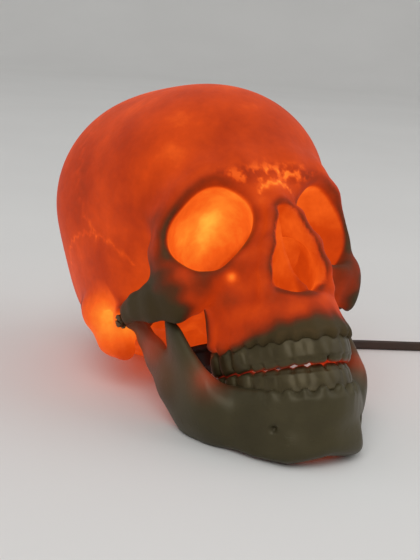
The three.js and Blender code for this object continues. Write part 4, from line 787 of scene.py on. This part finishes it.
def lamp_glow(across, p, normals, thick, faces):
    """How lit each point is. The far side of the skull, where across is over 0, is a little darker."""
    side, ahead, rise = p
    far = across > 0
    # The thin vault down to the brow, the temple, the front of the face above the teeth, and the cheek
    brow = 23 + 4 * eased(side, 12, 26) - 7 * eased(side, 34, 52)
    ridge = -36.5 - 0.2 * side + 0.8 * np.sin(side * 0.8)
    cheek_line = np.clip(52.5 + 0.6 * (rise + 10), 36, 54) + 1.5 * np.sin(rise * 0.7)
    glow = 0.64 * np.exp(-np.maximum(thick - 3.4, 0) / 8)
    for part in (0.64 * eased(rise, brow, brow + 11) * (ahead > -30),
                 0.68 * eased(-rise, -2, 6) * eased(46 - ahead, 0, 8) * eased(49 - side, 0, 4),
                 0.6 * eased(rise, ridge - 6, ridge + 6) * eased(cheek_line - side, -7, 6) * eased(ahead, 44, 56),
                 0.5 * eased(rise, -8, 12) * eased(side, 38, 42) * (ahead > 44),
                 0.42 * near_spot(p, (51, 65, -6), 8)):
        glow = np.maximum(glow, part)
    glow = evened(glow, faces, 4)
    # Lighter and darker spots, patches, and the dark rims of the sockets and the nose
    for amount, place, reach in GLOW_SPOTS:
        glow += amount * near_spot(p, place, reach)
    glow -= 0.12 * near_spot(p, (46, 64, -10), 9) * far
    patches = np.sin(across * 0.31 + rise * 0.17 + 1) * np.sin(rise * 0.27 - across * 0.13)
    glow += eased(ahead, 55, 66) * eased(30 - rise, 0, 10) * (0.06 * patches - 0.03)
    deep, ring = socket_frame(p)
    rim = 0.28 - 0.2 * near_spot(p, (14, 84, 30), 11) + 0.1 * near_spot(p, (30, 78, 0), 11)
    glow -= rim * np.exp(-((ring - 1.1) / 0.12) ** 2 - ((deep - 1) / 8) ** 2)
    nose = nose_opening(p)
    inward = evened(-normals[:, 0] * np.sign(across), faces, 7)
    glow -= 0.26 * np.exp(-((nose - 1.8) / 2.2) ** 2) * eased(ahead, 74, 80) * eased(0.6 - inward, 0, 0.5)
    # The roof of the mouth, the bright ear, the eye cups and the inside of the nose
    roof = eased(-arch_plan(p, UPPER_ARCH["half"], UPPER_ARCH["run"]), 4.5, 7) * eased(-rise, 22, 26)
    glow = glow * (1 - roof) + 0.78 * roof
    glow += 0.34 * near_spot(p, (25.6, 74.4, -9.4), 2)
    ear = ball(p, (50, -6, -3), 8)
    glow = np.maximum(glow, 0.98 - 0.022 * np.maximum(ear, 0) - 0.06 * np.maximum(ahead - 6, 0))
    cup = eased(deep, -1.5, 1.5) * eased(1.12 - ring, 0, 0.1) * eased(4.5 - np.abs(eye_socket(p)), 0, 1.5) * (deep < 45)
    warm = (0.79 + 0.11 * near_spot((side, rise * 0.6), (18.5, 15), 4.6) + 0.05 * eased(rise, 6, 26)
            - 0.04 * eased(ring, 0.75, 1) - 0.05 * far)
    glow = glow * (1 - cup) + warm * cup
    inner = np.minimum(np.maximum(nose, 58 - ahead), egg(p, "noseCavity"))
    low = eased(2.2 - inner, 0, 2) * eased(91 - ahead, 0, 5) * (ahead > 32)
    low = np.maximum(low, eased(inward, 0.2, 0.6) * eased(7.5 - nose, 0, 2) * (ahead > 68) * (rise < 27))
    glow = glow * (1 - low) + (0.67 + 0.04 * eased(rise, -20, 5)) * low
    # Dark behind the upper teeth, and bright on the hollow's own side
    glow *= 1 - 0.9 * eased(-rise, 39, 46) * eased(ahead, 46, 54)
    return np.clip(np.maximum(glow, 0.97 * eased(2 - thick, 0, 1)), 0, 1)


GRID_STEP = 1.3
shell_points, shell_faces, shell_normals, shell_place, hollow_grid = grown(
    cranium_shell, (0, -104, -52), (72, 106, 130), GRID_STEP)

shell_finish = Finish("shell_plastic", Roughness=0.4, Specular_IOR_Level=0.3, Specular_Tint=(1, 0.42, 0.2, 1))
add = partial(shell_finish.math, "ADD")
cloud, speck = shell_finish.noise(22, 5, 0.62), shell_finish.noise(420, 2)
# Painted light: the bulb's glow through the plastic at each point, with darker and lighter cloudy patches in it
lit = add(shell_finish.attribute("glow"), shell_finish.grey(cloud, -0.13, 0.1, 0.3, 0.7))
lit = add(lit, shell_finish.grey(speck, -0.012, 0.012))
# Pores at the brow and seams of the bones, painted as specks and lines of brighter glow
pores = shell_finish.grey(shell_finish.noise(230, 2), -0.12, 0.16, 0.42, 0.62)
lit = add(lit, shell_finish.math("MULTIPLY", shell_finish.attribute("brow"), pores))
lit = add(lit, shell_finish.attribute("mark"), clamp=True)
shell_finish.glow(lit, [
    (0.1, 0, 0, 0), (0.25, 60, 16, 5), (0.42, 124, 36, 9), (0.56, 172, 48, 8), (0.68, 203, 64, 10),
    (0.8, 242, 94, 24), (0.9, 253, 132, 40), (1.0, 255, 184, 66)])
# Painted light and shade in the base colour: dark orange where the painted glow is bright, and the plastic's
# grey-green, darkened as in dim room light, where it is low
tint = shell_finish.node("ShaderNodeMix", data_type="RGBA")
shell_finish.link(shell_finish.ramp(lit, [(0.12, 0, 0, 0), (0.4, 255, 255, 255)]), tint.inputs[0])
shell_finish.link(shell_finish.ramp(cloud, [(0.3, 54, 48, 30), (0.7, 68, 61, 40)]), tint.inputs[6])
tint.inputs[7].default_value = (*srgb(44, 14, 7), 1)
shell_finish.link(tint.outputs[2], shell_finish.shader.inputs["Base Color"])
shell_finish.rough(speck, 0.52, 0.66)
shell_finish.bump(add(speck, shell_finish.grey(shell_finish.noise(90, 3), -0.8, 0.8)), 0.14, 0.0003)

cranium = piece("cranium_shell", to_world(shell_points), shell_faces, shell_finish.material,
                "skull", "cranium", "shell")


def point_values(made, name, values):
    """Values of a piece's points, for its finish to read."""
    attribute = made.data.attributes.new(name, "FLOAT", "POINT")
    attribute.data.foreach_set("value", values.astype(np.float32))


def line_marks(p):
    """Seams of the skull bones, painted as brighter lines in the shell's glow: real seams, their brightness painted
    light.
    """
    side, ahead, rise = p
    wobble = 1.6 * np.sin(side * 0.9) + 0.9 * np.sin(side * 2.3 + 1) + 1.2 * np.sin(rise * 0.8)
    coronal = np.exp(-((ahead - 4 - 0.16 * (side - 20) + wobble) / 0.9) ** 2) * (rise > 34)
    arc = np.hypot(ahead + 8, rise - 6) - 37 + 0.8 * np.sin(ahead * 1.1)
    temporal = np.exp(-(arc / 0.9) ** 2) * (rise > 14) * (side > 44)
    nasal = np.exp(-(rise - 31.5 + 0.05 * side ** 2 + 0.7 * np.sin(side * 1.7)) ** 2) * (side < 9) * (ahead > 70)
    return 0.1 * coronal + 0.1 * temporal + 0.2 * nasal


# Where the pores at the brow show as specks in the painted glow
def brow_marks(p):
    side, ahead, rise = p
    band = np.exp(-((rise - 37 + 0.1 * side) / 4.5) ** 2) * (ahead > 66) * eased(36 - side, 0, 12)
    return band * eased(socket_frame(p)[1], 1.12, 1.25)


thick = read_grid(*hollow_grid, shell_points)
point_values(cranium, "glow", lamp_glow(shell_points[:, 0], shell_place, shell_normals, thick, shell_faces))
point_values(cranium, "mark", line_marks(shell_place))
point_values(cranium, "brow", brow_marks(shell_place))


def thinned(made, chosen, most):
    """Collapses triangles among the chosen points until the piece has no more than the given number."""
    made.data.calc_loop_triangles()
    count = len(made.data.loop_triangles)
    if count > most:
        made.vertex_groups.new(name="thin").add([int(i) for i in np.nonzero(chosen)[0]], 1.0, "REPLACE")
        thin = made.modifiers.new("thin", "DECIMATE")
        thin.ratio, thin.vertex_group = most / count, "thin"
        applied(made, thin)
        made.vertex_groups.clear()


# The hollow's side needs no fine mesh, nor does the smooth vault
vault = (shell_points[:, 2] > 48) | (shell_points[:, 1] < -20)
thinned(cranium, (thick < 1.5) | vault, MOST_TRIANGLES)

jaw_finish = Finish("jaw_plastic", Roughness=0.42, Specular_IOR_Level=0.35, Specular_Tint=(1, 0.9, 0.68, 1))
jaw_cloud, jaw_grain = jaw_finish.noise(26, 5, 0.6), jaw_finish.noise(420, 2)
# The plastic's grey-green tone, darkened to how it looks in dim room light: its own tone with painted shade
jaw_finish.colour(jaw_cloud, [(0.25, 47, 42, 26), (0.5, 59, 53, 34), (0.75, 70, 63, 42)])
scratch = jaw_finish.noise(60, 2, vector=jaw_finish.place(scale=(0.4, 6, 6), turn=(0.3, 0.2, 0.5)))
jaw_finish.rough(jaw_cloud, 0.36, 0.5)
jaw_finish.bump(jaw_finish.math("ADD", jaw_grain, jaw_finish.grey(scratch, 0, 1.6, 0.6, 0.72)), 0.16, 0.0003)
jaw_points, jaw_faces, _, jaw_place, _ = grown(jaw_form, (0, -6, -108), (66, 106, 8), GRID_STEP)
jaw = piece("jaw_shell", to_world(jaw_points), jaw_faces, jaw_finish.material, "jaw", "mandible", "jaw")
# Painted light: a red glow on the jaw's inner side, near its joint and on the ramus, from the lamp inside the skull and
# the floor it lights
jaw_inner_light = eased(-arch_plan(jaw_place, *JAW_ARCH), 1, 6) * eased(jaw_place[2], -92, -70)
jaw_joint_light = 0.3 * near_spot(jaw_place, (45, 12, -14), 9) + 0.5 * near_spot(jaw_place, (48, 26, -27), 8)
jaw_joint_light += 0.2 * near_spot(jaw_place, (49, 37, -41), 9) + 0.55 * near_spot(jaw_place, (42, 62, -52), 6)
point_values(jaw, "inside", np.clip(np.maximum(0.45 * jaw_inner_light, jaw_joint_light), 0, 1))
jaw_finish.glow(jaw_finish.attribute("inside"), [(0.02, 0, 0, 0), (0.3, 70, 16, 6), (1.0, 176, 42, 14)])


def crown(p, arch, place):
    """One tooth: wider at its contact than at its neck, front teeth thinned to an edge."""
    (x, y), (nx, ny), wide = place
    front = wide < 8.2 and y > ARCH_FROM + 20
    base, tip = ridge_edge(arch, y), tip_level(arch, y)
    across = (p[0] - x) * ny - (p[1] - y) * nx
    out = (p[0] - x) * nx + (p[1] - y) * ny
    half = abs(tip - base) / 2 + 0.7
    s = (p[2] - (tip + base) / 2) / (tip - base) * 2
    half_wide = wide / 2 * (0.9 + 0.14 * np.clip(1 - (s - 0.35) ** 2 / 1.4, 0, 1))
    deep = (3.5 if front else 4.5)
    half_deep = deep * (1 - 0.42 * np.clip(s + 0.4, 0, 2) ** 1.3 / 1.4 if front else 1 - 0.1 * np.clip(s, 0, 1) ** 2)
    lean = 0.9 * s if front else 0
    wave = np.cos(2 * math.pi * across / wide) * np.cos(math.pi * out / deep * 0.9)
    cusps = 1 - (0.02 if front else 0.07) * (1 + wave)
    k = (np.abs(across / half_wide) ** 3.4 + np.abs((out - lean * 0.4) / half_deep) ** 2.8
         + np.abs(s * (tip - base) / 2 / (half * cusps)) ** 5)
    return (k ** (1 / 3.2) - 1) * np.minimum(half_wide, half_deep)


def tooth_row(arch, p):
    """The strip that a row's crowns stand on, with the crowns."""
    level = ridge_edge(arch, p[1]) - arch["up"] * 0.4
    strip = np.maximum(np.abs(arch_plan(p, arch["half"], arch["run"])) - 3,
                       np.abs(p[2] - level + arch["up"] * 2.6) - 4.3)
    crowns = ((crown(p, arch, place), 0.9) for place in tooth_places(arch))
    return joined(np.maximum(strip, arch["back"] + 1 - p[1]), *crowns),


tooth_finish = Finish("tooth_plastic", Roughness=0.36, Specular_IOR_Level=0.4, Specular_Tint=(1, 0.86, 0.6, 1))
tooth_cloud = tooth_finish.noise(150, 3)
stripes = tooth_finish.noise(300, 2, vector=tooth_finish.place(scale=(4, 4, 0.6), turn=(TILT, 0, 0)))
# The teeth's grey-green tone, darkened to how it looks in dim room light: their own tone with painted shade
tooth_finish.colour(tooth_cloud, [(0.25, 50, 43, 26), (0.55, 62, 54, 34), (0.8, 76, 67, 44)])
tooth_finish.rough(tooth_cloud, 0.3, 0.44).bump(stripes, 0.12, 0.0002)
# Painted light: a red glow from the lamp inside the skull, on the teeth's inner sides and biting faces
tooth_finish.glow(tooth_finish.attribute("inside"), [(0.02, 0, 0, 0), (0.35, 96, 18, 8), (1.0, 176, 42, 16)])
TOOTH_STEP = 0.62
for name, arch, body, node, low, high in (("upper_tooth_row", UPPER_ARCH, "skull", "upper_teeth", -60.5, -34),
                                          ("lower_tooth_row", LOWER_ARCH, "jaw", "lower_teeth", -72, -46)):
    row_points, row_faces, _, place, _ = grown(partial(tooth_row, arch), (0, 42, low), (36, 104, high), TOOTH_STEP)
    row = piece(name, to_world(row_points), row_faces, tooth_finish.material, body, node, "teeth")
    # Where the painted red glow falls: the biting faces and the sides towards the mouth
    biting = np.exp(-((place[2] + 58.2 - (ARCH_FROM + UPPER_ARCH["run"] - place[1]) * 0.17) / 1.4) ** 2)
    behind = -arch_plan(place, arch["half"], arch["run"])
    point_values(row, "inside", np.clip(0.8 * eased(behind, 0.5, 3) + 0.5 * biting * eased(behind, -2.5, 0), 0, 1))

# Turned pieces about an axis: the lamp's parts, the gland and the roller

def turned(profile, count, origin, axis):
    """Vertices and faces of a closed profile of (radius, distance along the axis), turned about it."""
    axis = unit(axis)
    one = unit(np.cross(axis, (0.0, 0.0, 1.0) if abs(axis[2]) < 0.9 else (1.0, 0.0, 0.0)))
    two = np.cross(axis, one)
    mesh = bmesh.new()
    rings = []
    for radius, along in profile:
        middle = np.array(origin) + axis * along
        if radius < 1e-6:
            rings.append([mesh.verts.new(middle)])
            continue
        rings.append([mesh.verts.new(middle + radius * (one * math.cos(a) + two * math.sin(a)))
                      for a in np.linspace(0, 2 * math.pi, count, endpoint=False)])
    for low, high in zip(rings, rings[1:] + ([rings[0]] if len(rings[0]) > 1 else [])):
        for n in range(count):
            corners = []
            for ring, k in ((low, n), (low, n + 1), (high, n + 1), (high, n)):
                vert = ring[k % len(ring)]
                if vert not in corners:
                    corners.append(vert)
            if len(corners) > 2:
                mesh.faces.new(corners)
    bmesh.ops.recalc_face_normals(mesh, faces=mesh.faces)
    mesh.verts.index_update()
    vertices, faces = [v.co * MM for v in mesh.verts], [tuple(v.index for v in f.verts) for f in mesh.faces]
    mesh.free()
    return vertices, faces


def softened(made, width):
    """Rounds a piece's sharp edges, in metres, and shades it smooth but for its corners."""
    bevel = made.modifiers.new("edges", "BEVEL")
    bevel.width, bevel.segments, bevel.limit_method, bevel.angle_limit = width, 2, "ANGLE", math.radians(35)
    applied(made, bevel)
    made.data.shade_smooth()
    made.data.set_sharp_from_angle(angle=math.radians(30))
    return made


def clean_copy(node, name, material):
    """A merged copy of a CAD node's mesh, to finish further."""
    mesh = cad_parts[node].data.copy()
    mesh.materials.clear()
    mesh.materials.append(material)
    work = bmesh.new()
    work.from_mesh(mesh)
    bmesh.ops.remove_doubles(work, verts=work.verts, dist=1e-5)
    bmesh.ops.dissolve_limit(work, angle_limit=math.radians(1), verts=work.verts, edges=work.edges)
    work.to_mesh(mesh)
    work.free()
    return add_object(name, mesh)


def dull_metal(name, colour, rough):
    finish = Finish(name, Metallic=1.0)
    stain, hair = finish.noise(180, 4), finish.noise(900, 2, vector=finish.place(scale=(1, 1, 12)))
    finish.colour(stain, [(0.3, *colour), (0.75, *(min(v * 1.25, 255) for v in colour))])
    finish.rough(hair, rough - 0.06, rough + 0.12).bump(hair, 0.08, 0.0001)
    return finish.material


def moulded(name, dark, light, rough=0.42, grain=700):
    finish = Finish(name)
    tone, fine = finish.noise(70, 3), finish.noise(grain, 2)
    finish.colour(tone, [(0.3, *dark), (0.75, *light)])
    finish.rough(fine, rough - 0.06, rough + 0.1).bump(fine, 0.12, 0.0001)
    return finish.material


black_plastic = moulded("black_plastic", (20, 18, 16), (34, 31, 28))
cord_rubber = moulded("cord_rubber", (46, 29, 20), (66, 43, 30))
roller_plastic = moulded("roller_plastic", (150, 140, 122), (176, 166, 147), 0.38)
porcelain = moulded("lampholder_porcelain", (214, 208, 194), (230, 225, 214), 0.24, 300)
screw_steel = dull_metal("screw_steel", (88, 70, 48), 0.4)
clip_steel = dull_metal("clip_steel", (176, 176, 178), 0.26)
brass = dull_metal("contact_brass", (190, 150, 82), 0.3)
cap_aluminium = dull_metal("cap_aluminium", (188, 188, 184), 0.3)
cap_glass = moulded("cap_insulator", (30, 22, 40), (44, 34, 56), 0.12)


def clear_glass(name, tint, light, strength, frost):
    finish = Finish(name, Roughness=0.08, IOR=1.5, Alpha=0.4, Transmission_Weight=0.85,
                    Emission_Color=(*srgb(*light), 1), Emission_Strength=strength)
    ripple = finish.noise(60, 2)
    finish.colour(ripple, [(0.3, *tint), (0.7, 255, 250, 240)])
    finish.rough(ripple, 0.04, frost).bump(ripple, 0.03, 0.0002)
    return finish.material


bulb_glass = clear_glass("bulb_glass", (255, 236, 200), (255, 196, 110), 0.7, 0.16)
stem_glass = clear_glass("stem_glass", (238, 240, 236), (255, 200, 120), 0.2, 0.1)
hot_wire = Finish("hot_wire", Metallic=1.0, Roughness=0.4)
heat = hot_wire.noise(200, 2)
hot_wire.colour(heat, [(0.3, 120, 110, 100), (0.7, 160, 150, 140)])
hot_wire.glow(heat, [(0.2, 255, 170, 80), (0.8, 255, 222, 150)])

# The lamp's axis in the skull's frame, and its levels from the seat in the skull's base
LAMP_AXIS = np.diff(to_world([(0, LAMP_FORWARD, 0), (0, LAMP_FORWARD, 1)]), axis=0)[0] / MM
LAMP_FOOT = to_world([(0, LAMP_FORWARD, SEAT_LEVEL)])[0] / MM
# Levels above the seat at which the lamp's parts begin
HOLDER = 1.6
RING = HOLDER + 14.4
CONTACT = HOLDER + 2.7
TIP = CONTACT + 1.5
CAP = TIP + 1.7
GLASS = CAP + 14


def lamp_piece(name, base, profile, material, slot, count=48):
    """A piece turned about the lamp's axis, its profile's levels counted from its base."""
    vertices, faces = turned([(radius, base + level) for radius, level in profile], count, LAMP_FOOT, LAMP_AXIS)
    made = piece(name + "_form", vertices, faces, material, "skull", name, slot)
    made.data.set_sharp_from_angle(angle=math.radians(40))


def thread(radius, depth, low, high, pitch):
    """A row of rounded grooves between two levels."""
    along = np.linspace(low, high, int((high - low) / pitch * 8) + 1)
    return [(radius - depth * (0.5 - 0.5 * math.cos(2 * math.pi * (z - low) / pitch)), z) for z in along]


grips = [(14.2 - 0.5 * (i % 2), 0.25 + 0.25 * i) for i in range(11)]
lamp_piece("holder_ring", RING, [(11.7, 0), (13.7, 0), *grips, (13.7, 3), (11.7, 3)], black_plastic, "fitting")
lamp_piece("lampholder", HOLDER, [(0, 0), (11, 0), (11.4, 0.4), *thread(11.4, 0.35, 18.4, 26, 2.2), (11.4, 33.5),
                                  (10.9, 34), (8.9, 34), (8.6, 33.7), (8.6, 2.4), (0, 2.4)], porcelain, "fitting")
lamp_piece("screw_shell", HOLDER + 16, [(7.65, 0), (8.3, 0), *thread(8.3, 0.3, 1, 16, 2.5), (8.3, 17), (7.65, 17)],
           brass, "contact")
lamp_piece("centre_contact", CONTACT, [(0, 0), (3, 0), (3, 0.8), (2.2, 1.2), (0, 1.2)], brass, "contact", 32)
lamp_piece("bulb_tip", TIP, [(0, 0), (1.2, 0), (2, 0.5), (2.2, 1.4), (0, 1.4)], cap_aluminium, "bulb_metal", 24)
lamp_piece("bulb_insulator", CAP, [(0, 0), (3.6, 0), (4.6, 1), (4.6, 2.4), (0, 2.4)], cap_glass, "insulator", 32)
lamp_piece("bulb_cap", CAP, [(4.9, 0), (6.2, 0.2), (7.2, 1.2), *thread(7.3, 0.5, 2, 14.5, 2.5), (7.3, 16), (7.3, 22),
                             (6.7, 22), (6.7, 2), (5.9, 0.8), (4.9, 0.6)], cap_aluminium, "bulb_metal")


def glass_line(inset):
    """The bulb from its neck to its top, drawn in by an inset."""
    radius, middle, top, neck = 15 - inset, 41, 56 - inset, 6.2 - inset
    line = []
    for share in np.linspace(0, 1, 26):
        height = min(top * (1 - (1 - share) ** 1.6 if share > 0.5 else share * 1.34), top)
        ball_radius = math.sqrt(max(radius ** 2 - (height - middle) ** 2, 0)) if height > middle else radius
        swell = neck + (radius - neck) * float(eased(np.array(height), 12, middle))
        line.append((min(ball_radius, swell), height))
    return line[:-1] + [(0, top)]


lamp_piece("bulb_glass", GLASS, glass_line(0) + glass_line(0.8)[::-1], bulb_glass, "bulb_glass", 56)
lamp_piece("bulb_stem", GLASS, [(0, 0), (5.1, 0), (5.1, 1), (4.6, 1.6), (2.6, 2.8), (2, 7), (1.7, 13), (1.3, 19.4),
                                (0.9, 20), (0, 20)], stem_glass, "bulb_stem", 32)

# Gland where the cord leaves the foot: a tapered sleeve with ribs
EXIT_TURN = math.radians(14)
gland_line = to_world([(t * math.cos(EXIT_TURN), LAMP_FORWARD - t * math.sin(EXIT_TURN), SEAT_LEVEL - 6.4)
                       for t in (8.6, 30.6)]) / MM
gland_way = unit(gland_line[1] - gland_line[0])
ribs = [(0, 0), (2.9, 0), (3, 0.3), (3, 5.2)]
for i in range(8):
    at = 5.6 + 1.95 * i
    ribs += [(2.5, at), (2.5, at + 0.5), (2.98 - 0.012 * i, at + 0.85), (2.98 - 0.012 * i, at + 1.55)]
ribs += [(2.86, 21.6), (2.6, 22), (0, 22)]
vertices, faces = turned(ribs, 32, gland_line[0], gland_way)
gland = piece("gland_sleeve", vertices, faces, cord_rubber, "skull", "cord_gland", "cord")
gland.data.set_sharp_from_angle(angle=math.radians(35))

# Switch, plug, tie, foot, screws, washers and clips: the CAD forms with rounded edges

def rounded(node, name, material, width, slot):
    dress(softened(clean_copy(node, name, material), width * MM), "skull", node)


for case in (("switch_lower", "switch_base", cord_rubber, 0.9, "cord"),
             ("switch_upper", "switch_lid", cord_rubber, 0.9, "cord"),
             ("plug_body", "plug_moulding", cord_rubber, 1.1, "cord"),
             ("plug_blade_left", "plug_blade_1", brass, 0.3, "contact"),
             ("plug_blade_right", "plug_blade_2", brass, 0.3, "contact"),
             ("cord_tie", "tie_band", black_plastic, 0.12, "fitting"),
             ("lamp_foot", "foot_cup", black_plastic, 0.35, "fitting")):
    rounded(*case)


def slotted_screw(node, name, way):
    """A screw as in the CAD, with a driver slot cut in its head, which lies at the given end of its box."""
    made = clean_copy(node, name, screw_steel)
    low, high = (np.array(corner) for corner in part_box(node))
    axis = int(np.argmax(np.abs(way)))
    middle, size = (low + high) / 2, np.full(3, 1.0 * MM)
    middle[axis] = high[axis] if way[axis] > 0 else low[axis]
    size[axis] = 1.6 * MM
    size[(axis + 1) % 3] = 12 * MM
    cutter = bmesh.new()
    bmesh.ops.create_cube(cutter, size=1, matrix=Matrix.Translation(Vector(middle)) @ Matrix.Diagonal((*size, 1)))
    cutter_mesh = bpy.data.meshes.new("slot_cutter")
    cutter.to_mesh(cutter_mesh)
    cutter.free()
    cutter = add_object("slot_cutter", cutter_mesh)
    cut = made.modifiers.new("slot", "BOOLEAN")
    cut.operation, cut.object, cut.solver = "DIFFERENCE", cutter, "EXACT"
    applied(made, cut)
    bpy.data.objects.remove(cutter)
    dress(softened(made, 0.15 * MM), "skull", node)


for node, name, way in (("jaw_screw_left", "hinge_screw_left", (1, 0, 0)),
                        ("jaw_screw_right", "hinge_screw_right", (-1, 0, 0)),
                        ("switch_screw_1", "case_screw_1", (0, 0, 1)), ("switch_screw_2", "case_screw_2", (0, 0, 1))):
    slotted_screw(node, name, way)
for end in ("left", "right"):
    rounded("jaw_washer_" + end, "hinge_washer_" + end, screw_steel, 0.15, "screw")
for end in ("left", "right"):
    rounded("retaining_clip_" + end, "spring_" + end, clip_steel, 0.15, "spring")
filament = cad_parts["bulb_filament"]
filament.data.materials.clear()
filament.data.materials.append(hot_wire.material)

# Roller: a disc with ridges round its rim, made by geometry nodes

def roller_tree():
    tree = bpy.data.node_groups.new("roller_ridges", "GeometryNodeTree")
    for name, kind, value in (("Disc", "Geometry", None), ("Ridges", "Int", 30), ("Radius", "Float", 7.1 * MM),
                              ("Ridge radius", "Float", 0.48 * MM), ("Thickness", "Float", 3.4 * MM),
                              ("Material", "Material", None)):
        socket = tree.interface.new_socket(name, in_out="INPUT", socket_type="NodeSocket" + kind)
        if value:
            socket.default_value = value
    tree.interface.new_socket("Geometry", in_out="OUTPUT", socket_type="NodeSocketGeometry")
    given, circle, rib, ribs, both, real, finish, result = (tree.nodes.new(kind) for kind in (
        "NodeGroupInput", "GeometryNodeMeshCircle", "GeometryNodeMeshCylinder", "GeometryNodeInstanceOnPoints",
        "GeometryNodeJoinGeometry", "GeometryNodeRealizeInstances", "GeometryNodeSetMaterial", "NodeGroupOutput"))
    rib.inputs["Vertices"].default_value = 10
    for source, output, target, socket in (
            (given, "Ridges", circle, "Vertices"), (given, "Radius", circle, "Radius"),
            (given, "Thickness", rib, "Depth"), (given, "Ridge radius", rib, "Radius"),
            (circle, "Mesh", ribs, "Points"), (rib, "Mesh", ribs, "Instance"),
            (ribs, "Instances", both, "Geometry"), (given, "Disc", both, "Geometry"),
            (both, "Geometry", real, "Geometry"), (real, "Geometry", finish, "Geometry"),
            (given, "Material", finish, "Material"), (finish, "Geometry", result, "Geometry")):
        tree.links.new(source.outputs[output], target.inputs[socket])
    return tree


half_disc = [(0, -3.4), (1.6, -3.4), (1.6, -1.8), (6.4, -1.8), (6.9, -1.5)]
vertices, faces = turned(half_disc + [(r, -z) for r, z in half_disc[::-1]], 48, (0, 0, 0), (0, 0, 1))
roller = add_object("roller_wheel", new_mesh("roller_disc", vertices, faces))
ridges = roller.modifiers.new("ridges", "NODES")
ridges.node_group = tree = roller_tree()
for item in tree.interface.items_tree:
    if item.name == "Material":
        ridges[item.identifier] = roller_plastic
applied(roller, ridges)
roller.data.transform(Matrix.Translation(Vector(np.mean(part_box("switch_roller"), axis=0))))
roller.data.shade_smooth()
roller.data.set_sharp_from_angle(angle=math.radians(35))
dress(roller, "roller", "switch_roller")

# Floor that curves up all round, in metres, and soft light
floor_finish = Finish("floor_paint", Roughness=0.85)
floor_tone = floor_finish.noise(3, 3)
floor_finish.colour(floor_tone, [(0.3, 225.931, 225.272, 223.279), (0.7, 229.833, 229.189, 227.242)])
SPOKES, FLAT, CURVE = 72, 3.2, 1.2
bowl = [(1.0, 0), (FLAT, 0)] + [(FLAT + CURVE * math.sin(a), CURVE - CURVE * math.cos(a))
                                for a in np.linspace(0.1, math.pi / 2, 14)] + [(FLAT + CURVE, 2.2)]
spokes = np.linspace(0, 2 * math.pi, SPOKES, endpoint=False)
bowl_points = [(0, 0, 0)] + [(r * math.cos(a), r * math.sin(a), z) for r, z in bowl for a in spokes]
bowl_faces = [(0, 1 + n, 1 + (n + 1) % SPOKES) for n in range(SPOKES)]
bowl_faces += ring_faces(len(bowl), SPOKES, 1)
add_object("floor", new_mesh("floor", bowl_points, bowl_faces, floor_finish.material))

world = bpy.data.worlds.new("studio")
scene.world = world
world.use_nodes = True
backdrop = world.node_tree.nodes["Background"]
backdrop.inputs["Color"].default_value = (0.9, 0.9, 0.9, 1)
backdrop.inputs["Strength"].default_value = 0.6
for name, place, size, power in (("key", (-1.2, -1.4, 1.8), 1.6, 22), ("fill", (1.6, -1.0, 1.4), 1.8, 9)):
    lamp = bpy.data.lights.new(name, "AREA")
    lamp.shape, lamp.size, lamp.energy = "SQUARE", size, power
    lamp = add_object(name, lamp)
    lamp.location = place
    lamp.rotation_euler = (Vector((0, 0, 0.06)) - Vector(place)).to_track_quat("-Z", "Y").to_euler()
